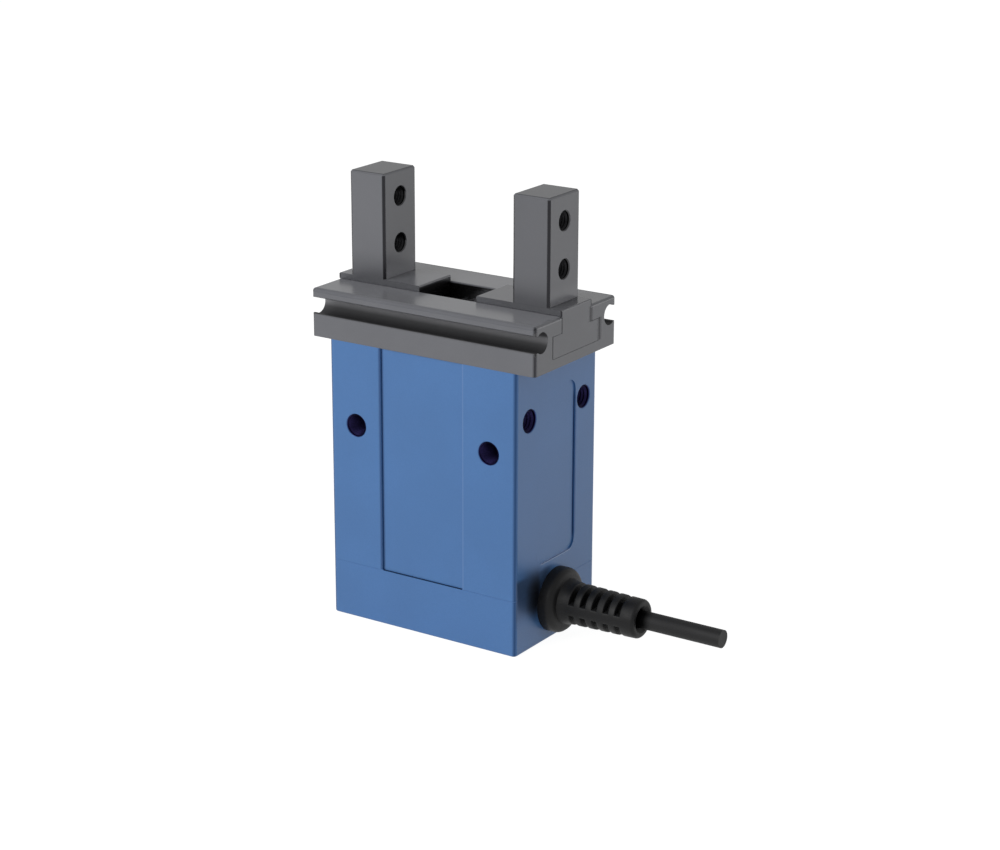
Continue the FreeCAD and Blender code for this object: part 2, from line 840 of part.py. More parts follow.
def rack():
    """Rack bar of the left jaw, teeth towards the pinion, its back guided by the slot."""
    half_tooth = (rack_pitch / 2 - rack_thinning) / 2
    tip = pinion_radius - addendum_share * rack_module
    tip_half = half_tooth - addendum_share * rack_module * math.tan(pressure_angle)
    root_half = half_tooth + dedendum_share * rack_module * math.tan(pressure_angle)
    points = [(-rack_outer_end, foot_half_width), (-rack_outer_end, rack_root)]
    for k in range(-rack_teeth_outward, rack_teeth_inward):
        center = (k + 0.5) * rack_pitch
        points += [(center - root_half, rack_root), (center - tip_half, tip)]
        points += [(center + tip_half, tip), (center + root_half, rack_root)]
    points += [(rack_inner_end, rack_root), (rack_inner_end, foot_half_width)]
    bar = extruded([V(x, y, foot_bottom) for x, y in points], V(0, 0, foot_top - foot_bottom))
    hole_radius = rack_screw_radius + screw_clearance
    sink_radius = rack_screw_head_radius + 2 * screw_clearance
    sink_depth = rack_screw_head_height + slide_clearance
    for x in rack_screw_places():
        start = V(-x, 0, rack_screw_height())
        seat = V(-x, foot_half_width - sink_depth, rack_screw_height())
        hole = Part.makeCylinder(hole_radius, foot_half_width, start, ALONG_Y)
        sink = Part.makeCone(hole_radius, sink_radius, sink_depth, seat, ALONG_Y)
        bar = bar.cut(hole).cut(sink)
    return bar


def rack_screws():
    thickness = foot_half_width - slide_clearance - rack_root
    one = countersunk_screw(rack_screw_radius, rack_screw_head_radius, rack_screw_head_height,
                            thickness + rack_screw_length - rack_screw_end_gap)
    one = turned(one, -90, ALONG_X)
    return [moved(one, -x, foot_half_width - slide_clearance, rack_screw_height())
            for x in rack_screw_places()]


def flatted_post(radius, flat, z0, z1):
    """Shaft length with one flat, facing +X."""
    return post(radius, z0, z1).common(box(-radius, flat, -radius, radius, z0, z1))


def pinion():
    wheel = gear(rack_module, pinion_teeth, rack_thinning, pinion_bottom, pinion_top)
    hub = post(pinion_hub_radius, body_height + slide_clearance, pinion_bottom)
    bore = flatted_post(shaft_radius + shaft_bore_clearance, shaft_flat + shaft_bore_clearance,
                        body_height, pinion_top)
    return wheel.fuse(hub).cut(bore)


def pinion_clip():
    inner = shaft_radius - clip_groove_depth + clip_clearance
    clip_top = clip_bottom + clip_thickness
    clip = ring(clip_outer_radius, inner, clip_bottom, clip_top)
    gap = inner * clip_gap_share
    return clip.cut(box(-gap, gap, -clip_outer_radius, 0, clip_bottom, clip_top))


def planet_places():
    return [360.0 * k / planet_count for k in range(planet_count)]


def planet_carrier():
    """Carrier disc and output shaft, with the shaft's flat and the clip's groove."""
    disc = post(carrier_radius, carrier_bottom, carrier_top)
    shoulder = post(carrier_shoulder_radius, carrier_top, drive_top - slide_clearance)
    journal = post(shaft_radius, carrier_top, body_height)
    end = flatted_post(shaft_radius, shaft_flat, body_height, shaft_top)
    groove = ring(2 * shaft_radius, shaft_radius - clip_groove_depth, clip_bottom - clip_clearance,
                  clip_bottom + clip_thickness + clip_clearance)
    holes = [turned(post(planet_pin_radius + pin_press_clearance, carrier_bottom, carrier_top,
                         planet_circle, 0), angle) for angle in planet_places()]
    return cut(fuse([disc, shoulder, journal, end]), [groove] + holes)


def planet_pins():
    pin = post(planet_pin_radius, planet_bottom, carrier_top, planet_circle, 0)
    return [turned(pin, angle) for angle in planet_places()]


def planet_gear(angle):
    """Planet with a gap towards the sun's tooth on the line between their centres."""
    half_step = math.pi / planet_teeth
    wheel = gear(gear_module, planet_teeth, gear_thinning, planet_bottom, planet_top, math.pi + half_step)
    wheel = wheel.cut(post(planet_pin_radius + pin_running_clearance, planet_bottom, planet_top))
    return turned(moved(wheel, planet_circle, 0, 0), angle)


def sun_gear():
    wheel = gear(gear_module, sun_teeth, gear_thinning, planet_bottom, planet_top)
    return wheel.cut(post(motor_shaft_radius + motor_press_clearance, planet_bottom, planet_top))


def ring_gear():
    """Gearbox case with inner teeth below and a plain bore for the carrier above."""
    case = post(gearbox_radius, gearbox_bottom, drive_top)
    teeth_top = (planet_top + carrier_bottom) / 2
    cutters = [ring_gear_hollow(gearbox_bottom, teeth_top)]
    cutters.append(post(carrier_radius + carrier_clearance, teeth_top, drive_top))
    for x, y in gearbox_screw_places():
        cutters.append(post(gearbox_screw_radius + screw_clearance, gearbox_bottom, drive_top, x, y))
    return cut(case, cutters)


def ball_bearing(outer, bore, z0, width, shield_inner, shield_outer):
    """Shielded bearing, its two shields set back from the faces."""
    body = ring(outer, bore, z0, z0 + width)
    lower = ring(shield_outer, shield_inner, z0, z0 + bearing_shield_depth)
    upper = ring(shield_outer, shield_inner, z0 + width - bearing_shield_depth, z0 + width)
    return body.cut(lower).cut(upper)


def output_bearing(z0):
    return ball_bearing(bearing_outer_radius, shaft_radius + shaft_bore_clearance, z0, bearing_width,
                        bearing_shield_inner, bearing_shield_outer)


def motor_bearing(z0):
    bore = motor_shaft_radius + motor_shaft_clearance
    span = motor_bearing_radius - bore
    return ball_bearing(motor_bearing_radius, bore, z0, motor_bearing_width,
                        bore + motor_shield_inner_share * span, bore + motor_shield_outer_share * span)


def gearbox_screws():
    head_seat = motor_front
    length = drive_top + gearbox_screw_depth - head_seat
    one = screw(gearbox_screw_radius, gearbox_screw_head_radius, gearbox_screw_head_height, length)
    one = turned(one, 180, ALONG_X)
    return [moved(one, x, y, head_seat) for x, y in gearbox_screw_places()]


def motor_plate():
    plate = post(gearbox_radius, motor_front, gearbox_bottom)
    cutters = [post(motor_shaft_radius + motor_plate_hole_clearance, motor_front, gearbox_bottom)]
    for x, y in gearbox_screw_places():
        cutters.append(post(gearbox_screw_radius + screw_clearance, motor_front, gearbox_bottom, x, y))
    head_bottom = gearbox_bottom - plate_screw_head_height
    hole = post(plate_screw_radius + screw_clearance, motor_front, gearbox_bottom, plate_screw_circle, 0)
    sink = cone(plate_screw_radius + screw_clearance, plate_screw_head_radius + 2 * screw_clearance,
                head_bottom, gearbox_bottom, plate_screw_circle, 0)
    cutters += around(hole.fuse(sink), plate_screw_count, plate_screw_start)
    return cut(plate, cutters)


def motor_plate_screws():
    one = countersunk_screw(plate_screw_radius, plate_screw_head_radius, plate_screw_head_height,
                            plate_screw_length)
    return around(moved(one, plate_screw_circle, 0, gearbox_bottom), plate_screw_count, plate_screw_start)


def motor_can():
    can = post(motor_radius, motor_rear, motor_front)
    hollow = post(motor_radius - motor_wall, motor_rear, motor_front - motor_front_wall)
    seat = post(motor_bearing_radius + motor_press_clearance, motor_rear, motor_front)
    hole = post(plate_screw_radius + screw_clearance, motor_front - motor_front_wall, motor_front,
                plate_screw_circle, 0)
    return cut(can, [hollow, seat] + around(hole, plate_screw_count, plate_screw_start))


def motor_end_cap():
    cap = post(motor_radius, end_cap_bottom, motor_rear)
    spigot = post(motor_radius - motor_wall - stator_clearance, motor_rear, motor_rear + end_cap_spigot)
    seat_bottom = end_cap_bottom + end_cap_floor
    seat = post(motor_bearing_radius + motor_press_clearance, seat_bottom, motor_rear + end_cap_spigot)
    hole = post(motor_shaft_radius + end_cap_hole_clearance, end_cap_bottom, motor_rear)
    tapped = post(small_screw_radius + screw_clearance, end_cap_bottom, motor_rear,
                  encoder_screw_circle, 0)
    return cut(cap.fuse(spigot), [seat, hole] + around(tapped, encoder_screw_count, encoder_screw_start))


def stator_core():
    """Laminated ring with inward teeth."""
    outer = motor_radius - motor_wall - stator_clearance
    top = stator_bottom + stator_height
    yoke = ring(outer, outer - stator_yoke, stator_bottom, top)
    half = stator_tooth_width / 2
    tooth = box(stator_bore, outer - stator_yoke / 2, -half, half, stator_bottom, top)
    return cut(fuse([yoke] + around(tooth, stator_teeth)), [post(stator_bore, stator_bottom, top)])


def stator_coils():
    """One coil round each tooth of the stator."""
    inner_half = stator_tooth_width / 2 + stator_clearance
    outer_half = inner_half + coil_width
    low = stator_bottom - stator_clearance
    high = stator_bottom + stator_height + stator_clearance
    coil = box(coil_inner_radius, coil_outer_radius, -outer_half, outer_half, low - coil_width,
               high + coil_width)
    coil = coil.cut(box(coil_inner_radius, coil_outer_radius, -inner_half, inner_half, low, high))
    return around(coil, stator_teeth)


def rotor_magnet():
    return ring(rotor_radius, motor_shaft_radius + motor_press_clearance, stator_bottom,
                stator_bottom + stator_height)


def motor_shaft():
    return post(motor_shaft_radius, shaft_rear, planet_top)


def encoder_magnet():
    top = encoder_magnet_bottom + encoder_magnet_height
    disc = post(encoder_magnet_radius, encoder_magnet_bottom, top)
    return disc.cut(post(motor_shaft_radius + motor_press_clearance, shaft_rear, top))


def encoder_board():
    bottom = encoder_board_top - encoder_board_thickness
    board = post(encoder_board_radius, bottom, encoder_board_top)
    half = encoder_chip_size / 2
    chip = box(-half, half, -half, half, encoder_board_top, encoder_board_top + encoder_chip_height)
    hole = post(small_screw_radius + screw_clearance, bottom, encoder_board_top, encoder_screw_circle, 0)
    return cut(board.fuse(chip), around(hole, encoder_screw_count, encoder_screw_start))


def encoder_spacers():
    one = ring(spacer_radius, small_screw_radius + screw_clearance, encoder_board_top, end_cap_bottom,
               encoder_screw_circle, 0)
    return around(one, encoder_screw_count, encoder_screw_start)


def encoder_screws():
    seat = encoder_board_top - encoder_board_thickness
    length = end_cap_bottom + end_cap_thickness - encoder_screw_end_gap - seat
    one = screw(small_screw_radius, small_screw_head_radius, small_screw_head_height, length)
    one = turned(one, 180, ALONG_X)
    return around(moved(one, encoder_screw_circle, 0, seat), encoder_screw_count, encoder_screw_start)


def control_board():
    board = box(-board_back_x, -board_front_x, -board_half_width, board_half_width, board_bottom, board_top)
    for y, z in board_screw_places():
        start = V(-board_back_x, y, z)
        board = board.cut(Part.makeCylinder(small_screw_radius + screw_clearance, board_thickness, start,
                                            ALONG_X))
    return board


def on_board(thickness, width, length, y, height):
    """Block on the board's front, centred at y and at a height above the board's lower edge."""
    x = -board_front_x
    z = board_bottom + height
    return box(x, x + thickness, y - width / 2, y + width / 2, z - length / 2, z + length / 2)


def plug_socket():
    """Open-fronted socket that the cable's plug goes into, from below."""
    body = on_board(socket_depth, socket_width, socket_depth, 0, socket_height)
    inner = socket_width - 2 * socket_wall
    hollow = on_board(socket_depth - 2 * socket_wall, inner, socket_depth, 0, socket_height - socket_wall)
    return body.cut(moved(hollow, socket_wall, 0, 0))


def board_parts():
    """Plug socket, processor, driver stage, coil and two capacitors on the control board."""
    parts = [plug_socket()]
    parts.append(on_board(processor_thickness, processor_size, processor_size, 0, processor_height))
    parts.append(on_board(driver_thickness, driver_size, driver_size, driver_y, driver_height))
    parts.append(on_board(coil_thickness, coil_size, coil_size, coil_y, driver_height))
    for y in (-capacitor_y, capacitor_y):
        start = V(-board_front_x, y, board_bottom + capacitor_height)
        parts.append(Part.makeCylinder(capacitor_radius, capacitor_length, start, ALONG_X))
    return parts


def board_spacers():
    spacers = []
    for y, z in board_screw_places():
        start = V(-pocket_wall_x, y, z)
        outer = Part.makeCylinder(spacer_radius, board_gap, start, ALONG_X)
        spacers.append(outer.cut(Part.makeCylinder(small_screw_radius + screw_clearance, board_gap, start,
                                                   ALONG_X)))
    return spacers


def board_screws():
    length = board_screw_depth + board_gap + board_thickness
    one = screw(small_screw_radius, small_screw_head_radius, small_screw_head_height, length)
    one = turned(one, 90, ALONG_Y)
    return [moved(one, -board_front_x, y, z) for y, z in board_screw_places()]


def boot_profile():
    """Half section of the strain relief: distance outwards from the body's side, and radius."""
    bore = cable_radius + cable_clearance
    wall = half_width - base_pocket_half_length
    rim = boot_flange_length - boot_flange_round
    bend = boot_flange_round * (1 - math.sqrt(0.5))
    end_bend = boot_end_round * (1 - math.sqrt(0.5))
    inner = wall + boot_spigot_clearance
    neck_middle = boot_neck_radius - boot_neck_bend_share * (boot_neck_radius - boot_start_radius)
    return [
        (-inner - boot_lip_length, bore), (-inner - boot_lip_length, boot_lip_radius),
        (-inner, boot_lip_radius), (-inner, boot_spigot_radius), (0, boot_spigot_radius),
        (0, boot_flange_radius), (rim, boot_flange_radius),
        ((boot_flange_length - bend, boot_flange_radius - bend),
         (boot_flange_length, boot_flange_radius - boot_flange_round)),
        (boot_flange_length + boot_neck_step, boot_neck_radius),
        (((boot_flange_length + boot_start) / 2, neck_middle), (boot_start, boot_start_radius)),
        (boot_length - boot_end_round, boot_end_radius),
        ((boot_length - end_bend, boot_end_radius - end_bend),
         (boot_length, boot_end_radius - boot_end_round)),
        (boot_length, boot_mouth_radius), (boot_length - boot_mouth_depth, bore),
    ]


def boot_slot(offset, side):
    """Cross slot in the upper or lower half, leaving the spines at front and back."""
    start = V(half_width + offset, 0, cable_height)
    slab = Part.makeCylinder(boot_flange_radius, boot_slot_width, start, ALONG_X)
    slab = slab.cut(Part.makeCylinder(boot_slot_floor_radius, boot_slot_width, start, ALONG_X))
    reach = boot_flange_radius
    z0, z1 = sorted([cable_height + side * boot_spine_half_width, cable_height + side * reach])
    return slab.common(box(start.x, start.x + boot_slot_width, -reach, reach, z0, z1))


def cable_boot():
    def place(point):
        return V(half_width + point[0], 0, cable_height + point[1])

    points = []
    for item in boot_profile():
        if isinstance(item[0], tuple):
            points.append((place(item[0]), place(item[1])))
        else:
            points.append(place(item))
    boot = Part.Face(outline(points)).revolve(V(0, 0, cable_height), ALONG_X, 360)
    for k in range(boot_slot_count):
        for side in (-1, 1):
            offset = boot_slot_start + k * boot_slot_pitch - boot_slot_width / 2
            boot = boot.cut(boot_slot(offset, side))
    return boot


def cable():
    start = V(cable_inner_end, 0, cable_height)
    return Part.makeCylinder(cable_radius, cable_outer_end - cable_inner_end, start, ALONG_X)


def clamp_bottom():
    return cable_height - cable_radius


def cable_clamp():
    """Bridge over the cable with a foot on each side."""
    x0 = clamp_start
    bottom = clamp_bottom()
    foot_top_height = bottom + clamp_foot_thickness
    feet = box(x0, x0 + clamp_length, -clamp_half_width, clamp_half_width, bottom, foot_top_height)
    start = V(x0, 0, cable_height)
    arch = Part.makeCylinder(clamp_arch_radius, clamp_length, start, ALONG_X)
    arch = arch.common(box(x0, x0 + clamp_length, -clamp_arch_radius, clamp_arch_radius, bottom,
                           cable_height + clamp_arch_radius))
    tunnel_radius = cable_radius + cable_clearance
    tunnel = Part.makeCylinder(tunnel_radius, clamp_length, start, ALONG_X)
    tunnel = tunnel.fuse(box(x0, x0 + clamp_length, -tunnel_radius, tunnel_radius, bottom, cable_height))
    bridge = feet.fuse(arch).cut(tunnel)
    for y in (-clamp_screw_y, clamp_screw_y):
        bridge = bridge.cut(post(small_screw_radius + screw_clearance, bottom, foot_top_height,
                                 x0 + clamp_length / 2, y))
    return bridge.removeSplitter()


def clamp_screws():
    one = screw(small_screw_radius, small_screw_head_radius, small_screw_head_height,
                clamp_foot_thickness + clamp_screw_depth)
    seat = clamp_bottom() + clamp_foot_thickness
    return [moved(one, clamp_start + clamp_length / 2, y, seat) for y in (-clamp_screw_y, clamp_screw_y)]


def save(name, shapes):
    """Writes one node: a single solid, or a group of separate solids."""
    if isinstance(shapes, list):
        shapes = Part.makeCompound(shapes)
    shapes.exportStep("parts/" + name + ".step")
    print(name, "solids", len(shapes.Solids), "volume", round(shapes.Volume, 2), "valid", shapes.isValid())


def save_body():
    save("housing", housing())
    save("base_block", base_block())
    save("base_gasket", base_gasket())
    save("base_screws", base_screws())
    save("guide_rail", guide_rail())
    save("rail_screws", rail_screws())
    save("rail_dowels", rail_dowels())


def save_jaws():
    for name, degrees in (("left", 0), ("right", 180)):
        save("jaw_" + name, turned(jaw(), degrees))
        save("rack_" + name, turned(rack(), degrees))
        save("rack_screws_" + name, [turned(one, degrees) for one in rack_screws()])


def save_drive():
    save("pinion", pinion())
    save("pinion_clip", pinion_clip())
    save("planet_carrier", planet_carrier())
    save("planet_pins", planet_pins())
    for k, angle in enumerate(planet_places()):
        save("planet_gear_" + str(k + 1), planet_gear(angle))
    save("sun_gear", sun_gear())
    save("ring_gear", ring_gear())
    save("output_bearing_lower", output_bearing(drive_top))
    save("output_bearing_upper", output_bearing(body_height - bearing_width))
    save("gearbox_screws", gearbox_screws())


def save_motor():
    save("motor_plate", motor_plate())
    save("motor_plate_screws", motor_plate_screws())
    save("motor_can", motor_can())
    save("motor_end_cap", motor_end_cap())
    save("motor_bearing_front", motor_bearing(motor_front - motor_bearing_width - slide_clearance))
    save("motor_bearing_rear", motor_bearing(end_cap_bottom + end_cap_floor))
    save("stator_core", stator_core())
    save("stator_coils", stator_coils())
    save("rotor_magnet", rotor_magnet())
    save("motor_shaft", motor_shaft())
    save("encoder_magnet", encoder_magnet())


def save_electronics():
    save("encoder_board", encoder_board())
    save("encoder_spacers", encoder_spacers())
    save("encoder_screws", encoder_screws())
    save("control_board", control_board())
    save("board_parts", board_parts())
    save("board_spacers", board_spacers())
    save("board_screws", board_screws())


def save_cable():
    save("cable_boot", cable_boot())
    save("cable", cable())
    save("cable_clamp", cable_clamp())
    save("clamp_screws", clamp_screws())
    length = cable_outer_end - cable_inner_end
    print("cable volume over section times length", cable().Volume / (math.pi * cable_radius ** 2 * length))


os.makedirs("parts", exist_ok=True)
save_body()
save_jaws()
save_drive()
save_motor()
save_electronics()
save_cable()
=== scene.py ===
# %% [markdown]
# # An electric parallel gripper, from CAD solids to a finished picture
# The gripper comes in as plain solids: a blue box-shaped body, a grey guide rail, two grey jaws and a
# black cable. The solids hold every main form already, so this lesson spends its time on what they
# lack: finishes that change over a surface, threads in the holes, and a moulded rubber boot with soft
# edges. Everything shares one frame in metres, with +X along the jaws' travel, -Y the front and +Z up.

# %% Load the frame
import json
import math

import bpy
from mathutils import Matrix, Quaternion, Vector


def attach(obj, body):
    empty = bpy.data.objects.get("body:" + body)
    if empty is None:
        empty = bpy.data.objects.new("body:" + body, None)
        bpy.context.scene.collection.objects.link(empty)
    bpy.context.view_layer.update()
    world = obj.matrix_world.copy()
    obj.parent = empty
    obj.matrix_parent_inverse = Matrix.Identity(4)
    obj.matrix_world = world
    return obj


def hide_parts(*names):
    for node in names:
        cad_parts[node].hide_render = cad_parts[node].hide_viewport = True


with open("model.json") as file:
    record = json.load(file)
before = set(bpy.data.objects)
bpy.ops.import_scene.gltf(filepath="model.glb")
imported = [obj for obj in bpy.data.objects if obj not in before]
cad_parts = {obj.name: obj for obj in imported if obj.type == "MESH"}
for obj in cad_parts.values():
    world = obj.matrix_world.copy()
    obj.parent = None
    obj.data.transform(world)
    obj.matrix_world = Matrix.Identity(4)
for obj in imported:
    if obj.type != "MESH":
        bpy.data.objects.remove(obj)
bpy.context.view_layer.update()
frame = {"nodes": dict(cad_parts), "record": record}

scene = bpy.context.scene
scene.view_settings.view_transform = "Standard"
mm = 0.001

# %% [markdown]
# ## Camera
# The photograph was taken with a long lens, a third of the way round towards the cable and a little
# from above. Rather than move a camera by hand, it is quicker and truer to state where it looks, from
# which side and how far away, and to work out its place from those numbers.

# %% Camera
aim_point = Vector((11.70, 0.0, 55.37)) * mm
camera_turn = math.radians(33.5)
camera_rise = math.radians(17.83)
camera_roll = math.radians(0.165)
camera_distance = 658.8 * mm
camera_lens = 90.08
camera_sensor = 36.0


def add_object(name, data):
    """A new object of that data, in the scene."""
    made = bpy.data.objects.new(name, data)
    scene.collection.objects.link(made)
    return made


def make_camera():
    data = bpy.data.cameras.new("camera")
    data.sensor_width = camera_sensor
    data.lens = camera_lens
    camera = add_object("camera", data)
    back = Vector((math.sin(camera_turn) * math.cos(camera_rise),
                   -math.cos(camera_turn) * math.cos(camera_rise), math.sin(camera_rise)))
    camera.location = aim_point + back * camera_distance
    camera.rotation_mode = "QUATERNION"
    camera.rotation_quaternion = (-back).to_track_quat("-Z", "Y") @ Quaternion((0, 0, 1), camera_roll)
    scene.camera = camera
    return camera


camera = make_camera()
print("camera at", [round(v, 3) for v in camera.location], "lens", camera.data.lens)

# %% [markdown]
# ## Cable
# A round cable leaves the body on the right through its boot, stays straight and is cut off plainly. A
# bevelled curve is the natural tool, because its one line is what a cable follows. The line has only a
# few control points, since the cable is a short stiff stub with no bend in it.

# %% Cable
body_side = 29.4 * mm
cable_height = 10.4 * mm
cable_radius = 2.4 * mm
cable_length = 50.5 * mm
cable_end = body_side + cable_length
cable_points = [body_side, 46 * mm, 63 * mm, cable_end]
cable_order = 3
cable_steps = 16
cable_roundness = 10


def make_cable():
    curve = bpy.data.curves.new("cable_jacket", "CURVE")
    curve.dimensions = "3D"
    spline = curve.splines.new("NURBS")
    spline.points.add(len(cable_points) - 1)
    for point, x in zip(spline.points, cable_points):
        point.co = (x, 0, cable_height, 1)
    spline.order_u = cable_order
    spline.use_endpoint_u = True
    spline.resolution_u = cable_steps
    curve.bevel_depth = cable_radius
    curve.bevel_resolution = cable_roundness
    curve.use_fill_caps = True
    return add_object("cable_jacket", curve)


cable = make_cable()
print("cable leaves at x", cable_points[0] / mm, "and ends at", cable_points[-1] / mm)

# %% [markdown]
# ## Room and light
# The gripper stands on a plain pale floor in an even white studio. The background has to be white
# without pouring more light on the object, so the world is white only for the camera, and dimmer for
# everything else. The floor is white for the camera and in reflections, and it still keeps a faint
# shadow. A large soft lamp in front gives the front more light than the side, as in the photograph. A
# second one, low on the right and behind, lights the side, so that the boot shades the side towards the
# front.

# %% Room and light: world
world_light = 0.36
world_in_gloss = 0.68
world_seen = 1.0


def rays(tree, *kinds):
    """1 for rays of the named kinds, 0 for all others."""
    path = tree.nodes.new("ShaderNodeLightPath")
    total = path.outputs[kinds[0]]
    for kind in kinds[1:]:
        add = tree.nodes.new("ShaderNodeMath")
        add.operation = "ADD"
        add.use_clamp = True
        tree.links.new(total, add.inputs[0])
        tree.links.new(path.outputs[kind], add.inputs[1])
        total = add.outputs[0]
    return total


def mix_shaders(tree, factor, first, second):
    mix = tree.nodes.new("ShaderNodeMixShader")
    for socket, source in zip(mix.inputs, (factor, first, second)):
        tree.links.new(source, socket)
    return mix.outputs[0]


def make_world():
    world = bpy.data.worlds.new("studio")
    world.use_nodes = True
    scene.world = world
    tree = world.node_tree
    tree.nodes.clear()
    sides = []
    for strength in (world_light, world_in_gloss, world_seen):
        side = tree.nodes.new("ShaderNodeBackground")
        side.inputs["Color"].default_value = (1, 1, 1, 1)
        side.inputs["Strength"].default_value = strength
        sides.append(side.outputs[0])
    dim = mix_shaders(tree, rays(tree, "Is Glossy Ray"), sides[0], sides[1])
    shown = mix_shaders(tree, rays(tree, "Is Camera Ray", "Is Transmission Ray"), dim, sides[2])
    output = tree.nodes.new("ShaderNodeOutputWorld")
    tree.links.new(shown, output.inputs[0])


make_world()
print("world:", scene.world.name)

# %% Room and light: floor
floor_colour = (0.8, 0.8, 0.8, 1)
floor_white = 1.28
floor_white_share = 0.74
floor_half = 3.0
floor_drop = 0.05 * mm


def make_floor():
    mesh = bpy.data.meshes.new("floor")
    corners = [(-1, -1), (1, -1), (1, 1), (-1, 1)]
    places = [(floor_half * x, floor_half * y, -floor_drop) for x, y in corners]
    mesh.from_pydata(places, [], [(0, 1, 2, 3)])
    material = bpy.data.materials.new("floor_paper")
    material.use_nodes = True
    tree = material.node_tree
    tree.nodes.clear()
    paper = tree.nodes.new("ShaderNodeBsdfDiffuse")
    paper.inputs["Color"].default_value = floor_colour
    white = tree.nodes.new("ShaderNodeEmission")
    white.inputs["Strength"].default_value = floor_white
    share = tree.nodes.new("ShaderNodeMath")
    share.operation = "MULTIPLY"
    tree.links.new(rays(tree, "Is Camera Ray", "Is Glossy Ray", "Is Transmission Ray"), share.inputs[0])
    share.inputs[1].default_value = floor_white_share
    output = tree.nodes.new("ShaderNodeOutputMaterial")
    mixed = mix_shaders(tree, share.outputs[0], paper.outputs[0], white.outputs[0])
    tree.links.new(mixed, output.inputs[0])
    mesh.materials.append(material)
    return add_object("floor", mesh)


floor = make_floor()
print("floor:", 2 * floor_half, "m wide")

# %% Room and light: lamps
softboxes = {"key_softbox": {"place": (-0.30, -0.80, 0.58), "size": 0.75, "watts": 6.3},
             "side_softbox": {"place": (0.80, 0.80, 0.12), "size": 0.5, "watts": 1.6}}


def add_softbox(name, place, size, watts):
    light = bpy.data.lights.new(name, "AREA")
    light.shape = "DISK"
    light.size = size
    light.energy = watts
    lamp = add_object(name, light)
    lamp.location = place
    lamp.rotation_mode = "QUATERNION"
    lamp.rotation_quaternion = (aim_point - Vector(place)).to_track_quat("-Z", "Y")


for lamp_name, values in softboxes.items():
    add_softbox(lamp_name, **values)

# %% [markdown]
# ## A small language for finishes
# A finish is a node tree, and wiring nodes one by one is long and hard to read. Two small classes fix
# that. Level stands for a number that changes over the surface, and lets plain arithmetic add the Math
# nodes. Finish owns a material and has one method that adds any node, so each recipe below is short.

# %% Level


def math_method(operation):
    """A method that adds one Math node, which works on the level and what else is given."""
    return lambda self, *others: self.calculate(operation, self, *others)


class Level:
    """A number that a finish works out at each point of a surface."""

    def __init__(self, finish, socket):
        self.finish = finish
        self.socket = socket

    def calculate(self, operation, *values):
        return self.finish.level("Math", {"operation": operation}, dict(enumerate(values)))

    __add__ = __radd__ = math_method("ADD")
    __sub__ = math_method("SUBTRACT")
    __mul__ = __rmul__ = math_method("MULTIPLY")
    __lt__ = math_method("LESS_THAN")
    size = math_method("ABSOLUTE")
    larger = math_method("MAXIMUM")
    root = math_method("SQRT")
    wave = math_method("SINE")

    def __rsub__(self, other):
        return self.calculate("SUBTRACT", other, self)

    def rise(self, low, high):
        """Goes smoothly from 0 at low to 1 at high. Low may be the larger one."""
        start, end, flip = (low, high, False) if low < high else (high, low, True)
        made = self.finish.level("MapRange", {"interpolation_type": "SMOOTHSTEP"},
                                 {"Value": self, "From Min": start, "From Max": end})
        return 1 - made if flip else made

    def within(self, low, high, soft):
        """1 from low to high, and smoothly down to 0 over a soft border outside them."""
        return self.rise(low - soft, low) * self.rise(high + soft, high)

    def away(self, centre, other, other_centre):
        """Distance from an axis, out of two coordinates."""
        first, second = self - centre, other - other_centre
        return (first * first + second * second).root()


print("a level can:", [name for name in vars(Level) if not name.startswith("_")])

# %% Finish
noise_middle = 0.5
mix_factor, mix_first, mix_second, mix_result = 0, 6, 7, 2
finishes = {}


